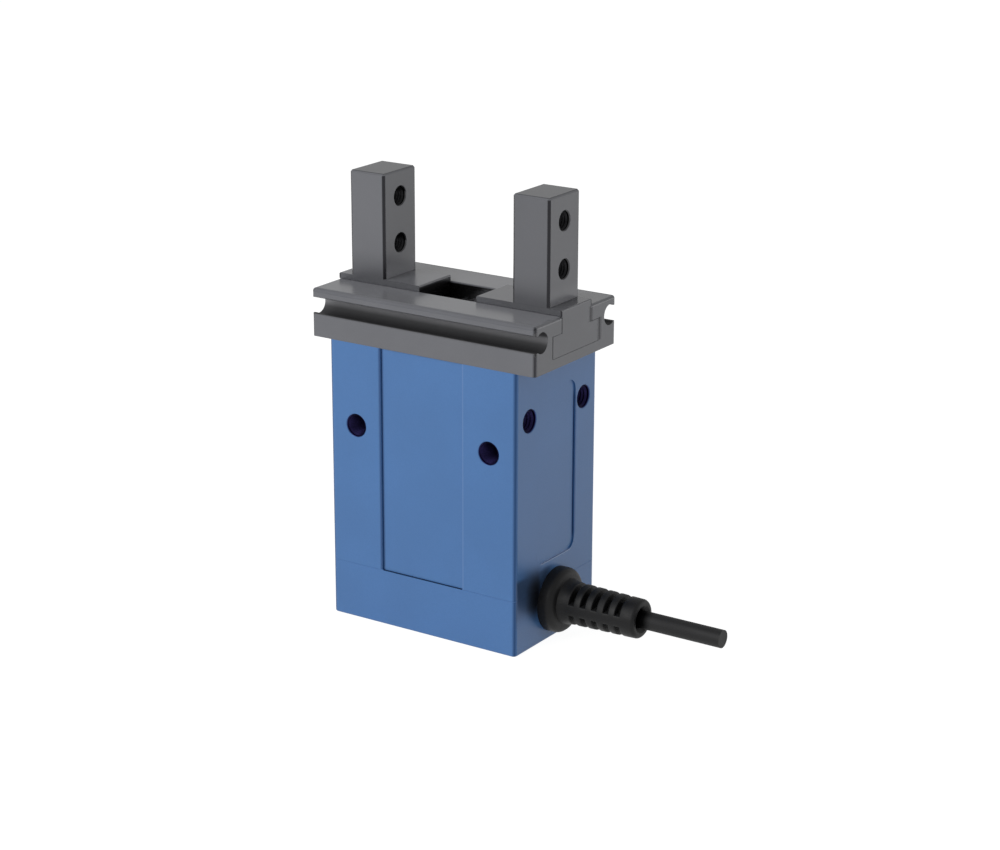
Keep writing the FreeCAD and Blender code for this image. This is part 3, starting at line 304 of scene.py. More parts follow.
class Finish:
    """A material, kept in finishes, and short ways to build it. Places are in millimetres."""

    def __init__(self, name, colour, roughness, metallic=0.0, **plain):
        finishes[name] = bpy.data.materials.new(name)
        finishes[name].use_nodes = True
        self.tree = finishes[name].node_tree
        self.shader = self.tree.nodes["Principled BSDF"]
        self.set("Base Color", (*colour, 1))
        self.set("Roughness", roughness)
        self.set("Metallic", metallic)
        for entry, value in plain.items():
            self.set(entry.replace("_", " "), value)
        metres = self.node("TexCoord").outputs["Object"]
        self.place = self.node("VectorMath", {"operation": "SCALE"}, {0: metres, "Scale": 1 / mm}).outputs[0]
        parts = self.node("SeparateXYZ", inputs={0: self.place}).outputs
        self.x, self.y, self.z = (Level(self, socket) for socket in parts)

    def node(self, kind, settings=None, inputs=None):
        made = self.tree.nodes.new("ShaderNode" + kind)
        for name, value in (settings or {}).items():
            setattr(made, name, value)
        for name, value in (inputs or {}).items():
            self.feed(made.inputs[name], value)
        return made

    def feed(self, socket, value):
        value = value.socket if isinstance(value, Level) else value
        if isinstance(value, bpy.types.NodeSocket):
            self.tree.links.new(value, socket)
        else:
            socket.default_value = value

    def set(self, name, value):
        self.feed(self.shader.inputs[name], value)

    def level(self, kind, settings=None, inputs=None):
        return Level(self, self.node(kind, settings, inputs).outputs[0])

    def noise(self, grain, detail=2.0, stretch=(1, 1, 1)):
        """Noise whose blobs are about grain millimetres, from about 0.3 to 0.7. stretch lengthens them."""
        place = self.place
        if stretch != (1, 1, 1):
            shrink = tuple(1 / s for s in stretch)
            place = self.node("VectorMath", {"operation": "MULTIPLY"}, {0: place, 1: shrink}).outputs[0]
        return self.level("TexNoise", inputs={"Vector": place, "Scale": 1 / grain, "Detail": detail})

    def patches(self, grain, detail=2.0, spread=0.2, stretch=(1, 1, 1)):
        """The same noise, with the values within the spread about its middle drawn out to 0 to 1."""
        return self.noise(grain, detail, stretch).rise(noise_middle - spread, noise_middle + spread)

    def mixed(self, factor, a, b):
        """Colour a where the factor is 0, b where it is 1."""
        a, b = ((*c, 1) if isinstance(c, tuple) else c for c in (a, b))
        inputs = {mix_factor: factor, mix_first: a, mix_second: b}
        return self.node("Mix", {"data_type": "RGBA"}, inputs).outputs[mix_result]

    def shaded(self, factor, colour, low, high):
        """The colour times low where the factor is 0, times high where it is 1."""
        return self.mixed(factor, shade(colour, low), shade(colour, high))

    def darken(self, colour, *layers):
        """Goes over to each layer's tone where its mask is 1, and takes the white gloss away there."""
        matt = None
        for mask, tone in layers:
            colour = self.mixed(mask, colour, tone)
            matt = mask if matt is None else matt.larger(mask)
        self.set("Metallic", matt)
        return colour

    def bump(self, height, depth):
        """Raises and lowers the surface by up to depth millimetres, in looks alone."""
        made = self.node("Bump", inputs={"Strength": 1.0, "Distance": depth * mm, "Height": height})
        self.set("Normal", made.outputs[0])


def shade(colour, share):
    return tuple(min(1.0, c * share) for c in colour)


print("finish tools are ready")

# %% [markdown]
# ## Blue anodised aluminium
# The two body blocks are machined, blasted to an even satin and then dyed blue. Up close that satin is
# a fine grain and the dye is a touch uneven. Painted shade darkens the rounded upright corners, the
# walls of channel and recess and the inside of the holes, where hardly any light comes back. Colour
# alone would leave a white gloss there, so the masks that darken a place also take its gloss away. The
# boot's flange gets a painted shadow, and two edges a painted highlight. A pair of numbers says where
# a mask is 0 and where it is 1, in millimetres.

# %% Blue finish: holes
half_width = 29.4
half_depth = 19.4
hole_radius = 3.0
hole_rim = (3.35, 3.20)
hole_dark_from = 0.04
hole_dark_full = 0.24
front_hole = (21.0, 54.5)
back_hole_height = 48.5
side_hole = (13.0, 63.0)


def hole_shade_mask(finish):
    """Painted shade: 1 inside the mounting holes, from a little below their mouths."""
    x, y, z = finish.x.size(), finish.y.size(), finish.z
    in_front = finish.y < 0
    front_height = back_hole_height + in_front * (front_hole[1] - back_hole_height)
    front = x.away(front_hole[0], z, front_height).rise(*hole_rim)
    front = front * y.rise(half_depth - hole_dark_from, half_depth - hole_dark_full)
    side = y.away(side_hole[0], z, side_hole[1]).rise(*hole_rim)
    side = side * x.rise(half_width - hole_dark_from, half_width - hole_dark_full)
    return front.larger(side)


print("hole mouths fade over", hole_rim, "mm")

# %% Blue finish: walls, corners and shade
recess_depth = 0.4
recess_half_width = 9.0
recess_upright = (27.0, 64.0)
recess_upright_soft = 3.0
recess_side_face = (half_width - recess_depth - 0.1, half_width - recess_depth)
channel_front_face = (half_depth - recess_depth - 0.1, half_depth - recess_depth)
channel_half_width = 12.9
channel_low = 15.6
above_channel_low = (channel_low - 0.2, channel_low)
wall_band = (1.0, 0.0)
wall_itself = (0.06, 0.03)
wall_relief = 0.9
side_face = (half_width - 0.2, half_width - 0.1)
shade_top = (27.0, 16.0)
shade_bottom = (5.5, 12.0)
shade_front = (21.5, 9.5)
shade_back = (4.5, 9.0)
close_shade_top = (22.0, 19.8)
close_shade_back = (0.0, 5.0)
close_shade_share = 0.6


def wall_shade(distance):
    """A soft band of painted shade beside a low wall, weaker on the wall itself."""
    return distance.rise(*wall_band) * (1 - wall_relief * distance.rise(*wall_itself))


def wall_shade_mask(finish):
    """Painted shade in soft bands along the upright walls of channel and recess that face the camera."""
    recess = wall_shade((finish.y - recess_half_width).size())
    recess = recess * finish.x.size().rise(*recess_side_face)
    recess = recess * finish.z.within(*recess_upright, recess_upright_soft)
    channel = wall_shade((finish.x + channel_half_width).size())
    channel = channel * finish.y.size().rise(*channel_front_face) * finish.z.rise(*above_channel_low)
    return channel.larger(recess)


def corner_shade_mask(finish, length, depth, radius, flank):
    """Painted shade: 1 on the rounded upright corners of a block, given its half length and half depth."""
    along_x = finish.x.size().rise(length - radius, length - flank * radius)
    return along_x * finish.y.size().rise(depth - radius, depth - flank * radius)


def boot_shade_mask(finish):
    """The soft painted shadow of the boot's thick flange on the side face, towards the front."""
    forward, z = finish.y * -1, finish.z
    wide = z.rise(*shade_top) * forward.rise(*shade_front) * forward.rise(*shade_back)
    close = z.rise(*close_shade_top) * forward.rise(*close_shade_back) * close_shade_share
    return finish.x.rise(*side_face) * z.rise(*shade_bottom) * wide.larger(close)


print("the boot's shade reaches up to", shade_top[0], "mm")

# %% Blue finish: colour and gloss
blue = (0.057, 0.169, 0.405)
blue_corner_shade = (0.026, 0.060, 0.146)
blue_hole_shade = (0.0170, 0.0120, 0.0700)
blue_wall_shade = (0.030, 0.062, 0.150)
blue_shade = (0.044, 0.056, 0.088)
blue_roughness = 0.30
blue_roughness_spread = 0.08
blue_lit_edge = (0.120, 0.230, 0.460)
blue_lit_wall = (0.22, 0.32, 0.52)
corner_radius = 1.15
cloud_detail = 3.0
cloud_spread = 0.15
cloud_depth = 0.03
lit_edge_middle = channel_half_width + 0.15
lit_edge_band = (0.3, 0.1)
lit_edge_share = 0.6
recess_low = 22.1
lit_wall_band = (0.35, 0.15)
lit_wall_ends = (recess_half_width - 1, recess_half_width - 3)


def satin(finish, colour, cloud_grain, speck_grain, speck_share, speck_tone):
    """Blasted and dyed metal: broad faint clouds and fine dark specks. Gives the colour and the specks."""
    cloud = finish.patches(cloud_grain, cloud_detail, cloud_spread)
    speck = finish.patches(speck_grain)
    clouded = finish.shaded(cloud, colour, 1 - cloud_depth, 1 + cloud_depth)
    return finish.mixed(speck * speck_share, clouded, shade(colour, speck_tone)), speck


def blue_anodised():
    finish = Finish("blue_anodised", blue, blue_roughness)
    colour, speck = satin(finish, blue, cloud_grain=22.0, speck_grain=0.35, speck_share=0.2, speck_tone=0.82)
    # Painted highlights: a light line along the channel's right edge and a lighter bottom wall in the side
    # recess.
    lit = (finish.x - lit_edge_middle).size().rise(*lit_edge_band) * finish.z.rise(*above_channel_low)
    colour = finish.mixed(lit * lit_edge_share, colour, blue_lit_edge)
    lit = (finish.z - recess_low).size().rise(*lit_wall_band) * finish.y.size().rise(*lit_wall_ends)
    colour = finish.mixed(lit * finish.x.size().rise(*recess_side_face), colour, blue_lit_wall)
    corner_shade = corner_shade_mask(finish, half_width, half_depth, corner_radius, flank=0.22)
    colour = finish.darken(colour, (wall_shade_mask(finish), blue_wall_shade), (corner_shade, blue_corner_shade),
                           (boot_shade_mask(finish), blue_shade), (hole_shade_mask(finish), blue_hole_shade))
    finish.set("Base Color", colour)
    finish.set("Roughness", blue_roughness + speck * blue_roughness_spread)
    finish.bump(finish.noise(grain=0.16, detail=3.0), depth=0.004)


blue_anodised()
print("finishes:", sorted(finishes))

# %% [markdown]
# ## Grey anodised aluminium
# The rail and the jaws are a harder, darker grey. The same satin grain runs over them, and long faint
# cutter marks run along the slides. Upright edges are broken by a narrow chamfer with painted shade on
# it, and the slot between the jaws is a deep hollow that sends hardly any light back, painted dark as
# shade. The sensor groove gets painted shade, lighter at its back and darker at its bottom. Rail and
# jaws share a recipe and differ only in their masks, which also paint light and shade on the rail's
# top and on the fingers.

# %% Grey finish: what rail and jaws share
grey = (0.130, 0.133, 0.147)
grey_edge_shade = (0.026, 0.026, 0.029)
grey_hollow_shade = (0.060, 0.060, 0.063)
grey_joint_shade = (0.050, 0.050, 0.054)
grey_roughness = 0.24
grey_roughness_spread = 0.03
cutter_marks_share = 0.5
rail_half_length = 35.0
rail_top = 90.02
slot_floor = 79.7
slot_mouth = (rail_top - 0.1, rail_top - 0.5)
foot_ceiling = 85.76
foot_half_width = 11.25
neck_half_width = 6.95
flat_face = (0.08, 0.04)
end_face = (rail_half_length - 0.15, rail_half_length - 0.075)
joint_line = (0.42, 0.1)
joint_shade = (1.5, 0.4)
joint_shade_share = 0.85
joint_end_soft = 0.3
far_side = (-1.0, 1.0)


def grey_base(name):
    """The finish, its colour and its roughness, for a recipe to go on with."""
    finish = Finish(name, grey, grey_roughness)
    colour, speck = satin(finish, grey, cloud_grain=18.0, speck_grain=0.3, speck_share=0.06, speck_tone=0.8)
    marks = finish.noise(grain=0.22, stretch=(60, 1, 1)) * cutter_marks_share
    finish.bump(finish.noise(grain=0.16, detail=3.0) + marks, depth=0.0012)
    return finish, colour, grey_roughness + speck * grey_roughness_spread


def joint_shade_lines(finish):
    """Painted shade lines on the end faces, where upright sides of neck and foot run in the slot.

    The photograph shows them wider on the far side, so there they get a soft shade as well.
    """
    x, y, z = finish.x.size(), finish.y.size(), finish.z
    shade_here = finish.y.rise(*far_side) * joint_shade_share

    def line(place):
        off = (y - place).size()
        return off.rise(*joint_line).larger(off.rise(*joint_shade) * shade_here)

    neck = line(neck_half_width) * z.rise(foot_ceiling - joint_end_soft, foot_ceiling)
    neck = neck * z.rise(rail_top, rail_top - joint_end_soft)
    foot = line(foot_half_width) * z.rise(slot_floor, slot_floor + joint_end_soft)
    foot = foot * z.rise(foot_ceiling + joint_end_soft, foot_ceiling)
    return x.rise(*end_face) * neck.larger(foot)


print("joint lines at", neck_half_width, "and", foot_half_width, "mm")

# %% Grey finish: rail
grey_top_light = (0.170, 0.173, 0.187)
grey_groove_shade = (0.284, 0.284, 0.295)
grey_groove_bottom_shade = (0.002, 0.002, 0.002)
rail_half_depth = 19.35
rail_corner_radius = 1.0
groove_height = 85.36
groove_reach = 2.9
groove_height_soft = 0.2
groove_back = rail_half_depth - 5.9
groove_front = rail_half_depth - 0.25
groove_depth_soft = 0.15
groove_ends = (rail_half_length, rail_half_length - 0.1)
groove_bottom_part = (groove_height + 0.5, groove_height - 1.5)
groove_ceiling_part = (groove_height + 0.6, groove_height + 1.2)
groove_shade_share = 0.78
groove_roughness = 0.5
slot_sides = (foot_half_width + 0.1, foot_half_width)
slot_ends = (rail_half_length - 0.05, rail_half_length - 1.0)
slot_bottom = (slot_floor - 0.3, slot_floor - 0.1)
long_edge_band = (rail_half_depth + rail_top - 1.2, rail_half_depth + rail_top - 1.0)
long_edge_roughness = 0.6
beside_neck = (neck_half_width, neck_half_width + 0.2)


def grey_rail():
    finish, colour, rough = grey_base("grey_rail")
    x, y, z = finish.x.size(), finish.y.size(), finish.z
    corner_shade = corner_shade_mask(finish, rail_half_length, rail_half_depth, rail_corner_radius, flank=0.2)
    # Painted shade in the sensor groove, lighter towards its back and darker at its bottom and ceiling. The
    # groove is rougher too.
    groove = y.within(groove_back, groove_front, groove_depth_soft) * x.rise(*groove_ends)
    groove = groove * z.within(groove_height - groove_reach, groove_height + groove_reach, groove_height_soft)
    groove = groove * groove_shade_share
    groove_bottom_shade = groove * z.rise(*groove_bottom_part)
    groove_ceiling_shade = groove * z.rise(*groove_ceiling_part)
    slot_shade = y.rise(*slot_sides) * z.rise(*slot_mouth) * x.rise(*slot_ends) * z.rise(*slot_bottom)
    long_edge = (y + z).rise(*long_edge_band)
    finish.set("Roughness", rough + long_edge * long_edge_roughness + groove * groove_roughness)
    # Painted light: the rail's top face beside the neck is lighter.
    top_light = (z - rail_top).size().rise(*flat_face) * y.rise(*beside_neck)
    colour = finish.mixed(top_light, colour, grey_top_light)
    colour = finish.darken(colour, (corner_shade, grey_edge_shade), (groove, grey_groove_shade), (groove_bottom_shade, grey_groove_bottom_shade),
                           (groove_ceiling_shade, grey_hollow_shade), (joint_shade_lines(finish), grey_joint_shade),
                           (slot_shade, grey_hollow_shade))
    finish.set("Base Color", colour)


grey_rail()
print("finishes:", sorted(finishes))

# %% Grey finish: painted shade on chamfers and in hollows of the jaws
finger_inner = 20.0
finger_outer = 31.1
finger_middle = (finger_inner + finger_outer) / 2
finger_half_length = (finger_outer - finger_inner) / 2
finger_half_width = 7.15
finger_foot = 91.64
finger_top = 119.94
finger_chamfer = 0.5
finger_hole_heights = (100.39, 112.99)
finger_hole_radius = 2.5
finger_hole_rim = (finger_hole_radius + 0.40, finger_hole_radius + 0.20)
finger_hole_depth = (finger_half_length - 0.02, finger_half_length - 0.16)
chamfer_line = finger_half_length + finger_half_width - finger_chamfer
chamfer_band = (chamfer_line - 0.35, chamfer_line + 0.05)
chamfer_upright = (finger_foot + 0.2, finger_top - finger_chamfer - 0.1)
chamfer_soft = 0.2
carriage_corner = rail_half_length + finger_half_width
carriage_chamfer_band = (carriage_corner - 0.6, carriage_corner - 0.1)
carriage_upright = (rail_top, finger_foot - 0.2)
carriage_soft = 0.1
jaw_inner_end = 8.9
hollow_end = (jaw_inner_end + 0.3, jaw_inner_end + 0.1)
hollow_upright = (finger_foot, finger_foot - 1.2)
below_ends = (rail_half_length - 0.9, rail_half_length - 1.4)


def jaw_edge_shade(x, y, z, off_middle):
    """Painted shade on the upright chamfers of the finger and of the carriage's end."""
    finger = (off_middle + y).rise(*chamfer_band) * z.within(*chamfer_upright, chamfer_soft)
    carriage = (x + y).rise(*carriage_chamfer_band) * z.within(*carriage_upright, carriage_soft)
    return finger.larger(carriage)


def jaw_hollow_shade(x, y, z, off_middle):
    """Painted shade where hardly any light comes back: below the rail's top, at the inner end and in the
    holes.
    """
    dark = z.rise(*slot_mouth) * x.rise(*below_ends)
    dark = dark.larger(x.rise(*hollow_end) * z.rise(*hollow_upright))
    for height in finger_hole_heights:
        hole = y.away(0.0, z, height).rise(*finger_hole_rim)
        dark = dark.larger(hole * off_middle.rise(*finger_hole_depth))
    return dark


print("finger holes at", finger_hole_heights, "mm")

# %% Grey finish: jaws
grey_jaw_shade = (0.030, 0.030, 0.033)
grey_inner_light = (0.230, 0.232, 0.250)
above_rail = (rail_top - 0.2, rail_top)
inner_faces = (finger_half_length - 0.15, finger_half_length - 0.05)
inner_light_upright = (97.5, finger_foot)
above_foot = (finger_foot + 0.05, finger_foot + 0.2)
front_faces = (finger_half_width - 0.15, finger_half_width - 0.05)
foot_shade_upright = (100.0, finger_foot)
foot_shade_share = 0.42
right_half = (10.0, 20.0)
right_front_face = (0.05 - finger_half_width, -finger_half_width)
right_shade_share = 0.17
finger_top_face = (finger_top - 0.2, finger_top - 0.1)
finger_top_roughness = 0.07
finger_top_share = 0.53
right_carriage = (-5.0, 5.0)
carriage_top_share = 0.25


def grey_jaw():
    finish, colour, rough = grey_base("grey_jaw")
    x, y, z = finish.x.size(), finish.y.size(), finish.z
    off_middle = (x - finger_middle).size()
    # Painted light: the inner faces of the fingers are lighter towards their feet.
    inner_light = off_middle.rise(*inner_faces) * z.rise(*inner_light_upright) * z.rise(*above_foot)
    colour = finish.mixed(inner_light, colour, grey_inner_light)
    top = z.rise(*finger_top_face)
    finish.set("Roughness", rough + top * finger_top_roughness)
    # Painted shade: darker finger tops and right carriage top, a darker front on the right finger, and shade
    # on the fronts towards the fingers' feet.
    carriage_top = (z - finger_foot).size().rise(*flat_face) * finish.x.rise(*right_carriage)
    top = (top * finger_top_share).larger(carriage_top * carriage_top_share)
    right = finish.x.rise(*right_half) * finish.y.rise(*right_front_face)
    right = right * z.rise(*above_rail) * right_shade_share
    low = y.rise(*front_faces) * z.rise(*foot_shade_upright) * z.rise(*above_rail) * foot_shade_share
    edges, hollows = jaw_edge_shade(x, y, z, off_middle), jaw_hollow_shade(x, y, z, off_middle)
    colour = finish.darken(colour, (top, grey_jaw_shade), (right, grey_jaw_shade), (low, grey_jaw_shade), (edges, grey_edge_shade),
                           (joint_shade_lines(finish), grey_joint_shade), (hollows, grey_hollow_shade))
    finish.set("Base Color", colour)


grey_jaw()
print("finishes:", sorted(finishes))

# %% [markdown]
# ## Rubber and cable jacket
# The boot is soft moulded rubber and the cable has a smooth plastic jacket. Both are almost black, so
# what the eye reads is their gloss. A little broad noise in the roughness and a fine pebble keep them
# from looking like paint, and the jacket gets faint lengthwise drag lines from the die it was drawn
# through.

# %% Rubber and cable jacket
rubber = (0.0042, 0.0042, 0.0047)
jacket = (0.0070, 0.0070, 0.0075)
jacket_roughness = 0.58
jacket_roughness_spread = 0.1
jacket_shade_tone = 0.35
boot_mouth = half_width + 26.9
beside_mouth = (boot_mouth + 4.0, boot_mouth + 1.0)
moulded_low, moulded_high = 0.85, 1.2
gasket_dyed = shade(blue, 0.95)
gasket_channel_shade = (0.010, 0.026, 0.065)
gasket_channel_sides = (channel_half_width - 0.05, channel_half_width - 0.2)
gasket_channel_front = (half_depth - 1.4, half_depth - 1.2)


def moulded(name, colour, roughness, roughness_spread, gloss, patch_grain, pebble, pebble_depth, detail=2.0):
    """Dull black moulding: broad patches of tone and gloss over a fine pebble."""
    finish = Finish(name, colour, roughness, Specular_IOR_Level=gloss)
    patch = finish.patches(patch_grain, detail=3.0)
    finish.set("Base Color", finish.shaded(patch, colour, moulded_low, moulded_high))
    finish.set("Roughness", roughness + patch * roughness_spread)
    finish.bump(finish.noise(pebble, detail), pebble_depth)


def cable_jacket():
    finish = Finish("cable_jacket", jacket, jacket_roughness, Specular_IOR_Level=0.34)
    patch = finish.patches(grain=5.0, detail=3.0, stretch=(3, 1, 1))
    colour = finish.shaded(patch, jacket, moulded_low, moulded_high)
    # Painted shade on the jacket just outside the boot's mouth.
    in_shade = finish.x.rise(*beside_mouth)
    finish.set("Base Color", finish.darken(colour, (in_shade, shade(jacket, jacket_shade_tone))))
    finish.set("Roughness", jacket_roughness + patch * jacket_roughness_spread)
    finish.bump(finish.noise(grain=0.2, stretch=(40, 1, 1)), depth=0.006)


def gasket_rubber():
    finish = Finish("gasket_rubber", gasket_dyed, roughness=0.34)
    # Painted shade on the gasket inside the front channel, and the boot's painted shadow.
    channel_shade = finish.x.size().rise(*gasket_channel_sides) * finish.y.size().rise(*gasket_channel_front)
    layers = (channel_shade, gasket_channel_shade), (boot_shade_mask(finish), blue_shade)
    finish.set("Base Color", finish.darken(gasket_dyed, *layers))
    finish.bump(finish.noise(grain=0.2), depth=0.004)


moulded("boot_rubber", rubber, roughness=0.46, roughness_spread=0.12, gloss=0.25, patch_grain=4.0,
        pebble=0.22, pebble_depth=0.010, detail=3.0)
cable_jacket()
gasket_rubber()
print("finishes:", sorted(finishes))

# %% [markdown]
# ## Metals inside
# Screws, gears, bearings and motor parts are bare or thinly coated metal. A metal's colour comes from
# its reflection, so each recipe sets a high Metallic and lets the roughness carry the making: rings
# from turning about an upright axis, straight scratches from grinding, or the even dull black of oxide.

# %% Metals inside
ring_roughness_spread = 0.16
scratch_roughness_spread = 0.2
fine_scratch_share = 0.4
oxide_black = (0.020, 0.020, 0.022)
oxide_worn = (0.075, 0.073, 0.072)
oxide_roughness = 0.45
oxide_polish = 0.12
oxide_wear = (0.55, 0.75)
turned_metals = {"plain_aluminium": ((0.66, 0.67, 0.69), 0.32, 0.25),
                 "motor_casing": ((0.36, 0.36, 0.38), 0.36, 0.6),
                 "magnet_coat": ((0.40, 0.40, 0.42), 0.22, 0.5),
                 "brass_spacer": ((0.70, 0.50, 0.20), 0.26, 0.25)}


def turned_metal(name, colour, roughness, ring):
    """Metal with fine rings about the upright middle axis, as a lathe leaves them."""
    finish = Finish(name, colour, roughness, metallic=1.0)
    inputs = {"W": finish.x.away(0.0, finish.y, 0.0), "Scale": 1 / ring, "Detail": 3.0}
    rings = finish.level("TexNoise", {"noise_dimensions": "1D"}, inputs)
    cloud = finish.patches(grain=3.0, detail=3.0)
    finish.set("Base Color", finish.shaded(cloud, colour, low=0.88, high=1.08))
    finish.set("Roughness", roughness + (rings - noise_middle) * ring_roughness_spread)
    finish.bump(rings + finish.noise(grain=0.1) * fine_scratch_share, depth=0.006)


def ground_metal(name, colour, roughness):
    """Metal with short straight scratches, as a grinding wheel leaves them."""
    finish = Finish(name, colour, roughness, metallic=1.0)
    scratch = finish.noise(grain=0.08, detail=3.0, stretch=(25, 1, 1))
    cloud = finish.patches(grain=2.5, detail=3.0)
    finish.set("Base Color", finish.shaded(cloud, colour, low=0.86, high=1.1))
    finish.set("Roughness", roughness + (scratch - noise_middle) * scratch_roughness_spread)
    finish.bump(scratch, depth=0.004)


def black_oxide(name):
    """Blackened steel: dull and dark, worn a little brighter in patches."""
    finish = Finish(name, oxide_black, oxide_roughness, metallic=0.85)
    rub = finish.noise(grain=0.9, detail=4.0).rise(*oxide_wear)
    finish.set("Base Color", finish.mixed(rub, oxide_black, oxide_worn))
    finish.set("Roughness", oxide_roughness - rub * oxide_polish)
    finish.bump(finish.noise(grain=0.12, detail=3.0), depth=0.006)


for name, (colour, roughness, ring) in turned_metals.items():
    turned_metal(name, colour, roughness, ring)
ground_metal("ground_steel", (0.52, 0.52, 0.54), 0.28)
black_oxide("black_screw_steel")
print("finishes:", len(finishes))

# %% [markdown]
# ## Copper, boards and plastic inside
# The coils are enamelled wire: a band pattern across each winding, with painted shade between the
# turns, reads as turns laid side by side. The circuit boards are green with paler tracks under the
# varnish, and their parts are dull moulded black.
# Tracks need no drawing: two stretched noises cut at a level give broken lines that run along the
# board's two directions.

# %% Copper, boards and plastic inside
wire_copper = (0.62, 0.25, 0.10)
wire_pitch = 0.42
board_green = (0.010, 0.110, 0.045)
board_track = (0.030, 0.210, 0.090)
board_rim = (0.30, 0.24, 0.12)
board_roughness = 0.3
board_roughness_spread = 0.15
track_grain = 0.9
track_stretch = 9
track_edge = (0.56, 0.58)
rim_edge = (0.72, 0.8)
weave_bump_share = 0.3


def copper_wire():
    finish = Finish("copper_wire", wire_copper, roughness=0.3, metallic=0.9, Coat_Weight=0.4)
    turns = (finish.x.away(0.0, finish.y, 0.0) * (2 * math.pi / wire_pitch)).wave()
    crest = turns * 0.5 + 0.5
    # Painted shade in the troughs between the turns.
    finish.set("Base Color", finish.shaded(crest, wire_copper, low=0.3, high=1.1))
    finish.bump(crest, depth=0.08)


def varnished_board():
    finish = Finish("board_green", board_green, roughness=0.35, Coat_Weight=0.3)
    across = finish.noise(track_grain, detail=1.0, stretch=(1, track_stretch, 1)).rise(*track_edge)
    along = finish.noise(track_grain, detail=1.0, stretch=(1, 1, track_stretch)).rise(*track_edge)
    tracks = across.larger(along)
    weave = finish.noise(grain=0.12)
    colour = finish.mixed(tracks, board_green, board_track)
    finish.set("Base Color", finish.mixed(weave.rise(*rim_edge), colour, board_rim))
    finish.set("Roughness", board_roughness + weave * board_roughness_spread)
    finish.bump(tracks + weave * weave_bump_share, depth=0.02)


copper_wire()
varnished_board()
plastic = {"roughness_spread": 0.1, "gloss": 0.4, "patch_grain": 2.0, "pebble_depth": 0.01}
moulded("component_black", (0.022, 0.022, 0.024), 0.5, pebble=0.1, **plastic)
moulded("clamp_plastic", (0.030, 0.030, 0.032), 0.42, pebble=0.2, **plastic)
print("finishes:", len(finishes))

# %% [markdown]
# ## Boot
# The strain relief is one rubber moulding: a thick round flange against the body, a neck, five cross
# slots above and below that let it bend, and two plain spines between them. Cutting slots with booleans
# leaves knife edges. Here the whole skin is one grid instead. Its rows run along the boot and its
# columns round it, and at a slot the radius simply drops, past a few rows and columns that lie on a
# small round lip.

# %% Boot: a slot and its lips
boot_start_radius = 5.7
boot_start = 7.0
boot_length = 26.9
boot_end_radius = 5.25
boot_end_round = 1.0
slot_half_width = 0.75
slot_floor_radius = 3.3
lip_round = 0.22
lip_steps = 3
wall_lean = 0.03


def lip_step(k):
    """Step k of a lip's quarter circle, from its top: how far over and how far down it lies."""
    turn = k / lip_steps * math.pi / 2
    return lip_round * math.sin(turn), lip_round * (1 - math.cos(turn))


def taper(distance):
    share = (distance - boot_start) / (boot_length - boot_end_round - boot_start)
    return boot_start_radius + (boot_end_radius - boot_start_radius) * share


def slot_rows(middle):
    """Rows over one slot: distance, outer radius and how deep the slot is there."""
    rows = []
    for over, down in map(lip_step, range(lip_steps + 1)):
        rows.append((slot_half_width + lip_round - over, down))
    rows.append((slot_half_width - wall_lean, None))
    near = [(middle - offset, depth) for offset, depth in rows]
    far = [(middle + offset, depth) for offset, depth in reversed(rows)]
    rows = []
    for distance, depth in near + far:
        radius = taper(distance)
        rows.append((distance, radius, radius - slot_floor_radius if depth is None else depth))
    return rows


print("a slot is", 2 * slot_half_width, "mm wide, its lips", lip_round, "mm round")

# %% Boot: the line that is turned about the cable
boot_flange_radius = 8.8
boot_flange_length = 4.1
boot_flange_round = 2.0
boot_flange_steps = 6
boot_neck_radius = 6.25
boot_neck_gap = 0.1
boot_neck_curve = 1.4
boot_neck_steps = 5
boot_end_steps = 5
boot_mouth_radius = 3.75
boot_mouth_depth = 1.2
boot_spigot_radius = 4.2
boot_spigot_length = 9.0
boot_lip_radius = 4.9
boot_lip_length = 1.1
boot_bore_gap = 0.05
slot_count = 5
slot_first = 8.2
slot_pitch = 3.44


def rounded_edge(distance, radius, bend, steps):
    """Rows over a rounded outer edge, whose corner would be at that distance and radius."""
    turns = [(1 - k / steps) * math.pi / 2 for k in range(steps + 1)]
    return [(distance - bend + bend * math.cos(t), radius - bend + bend * math.sin(t)) for t in turns]


def boot_rows():
    """Every row of the closed skin, from the inner lip over the outside and back through the bore."""
    bore = cable_radius / mm + boot_bore_gap
    back = -boot_spigot_length
    lip_end = back - boot_lip_length
    rows = [(lip_end, bore), (lip_end, boot_lip_radius), (back, boot_lip_radius), (back, boot_spigot_radius),
            (0.0, boot_spigot_radius), (0.0, boot_flange_radius)]
    rows += rounded_edge(boot_flange_length, boot_flange_radius, boot_flange_round, boot_flange_steps)
    fall = boot_neck_radius - boot_start_radius
    neck_start = boot_flange_length + boot_neck_gap
    for k in range(boot_neck_steps + 1):
        share = k / boot_neck_steps
        radius = boot_start_radius + fall * (1 - share) ** boot_neck_curve
        rows.append((neck_start + (boot_start - neck_start) * share, radius))
    rows = [(s, r, 0.0) for s, r in rows]
    for k in range(slot_count):
        rows += slot_rows(slot_first + k * slot_pitch)
    end = rounded_edge(boot_length, boot_end_radius, boot_end_round, boot_end_steps)
    end += [(boot_length, boot_mouth_radius), (boot_length - boot_mouth_depth, bore)]
    return rows + [(s, r, 0.0) for s, r in end]


print("boot rows:", len(boot_rows()))

# %% Boot: the skin
spine_half_width = 1.5
spine_steps = (-1.0, -0.5, 0.0, 0.5, 1.0)
slot_columns = 18
sine_limit = 0.95
smooth_up_to = math.radians(38)


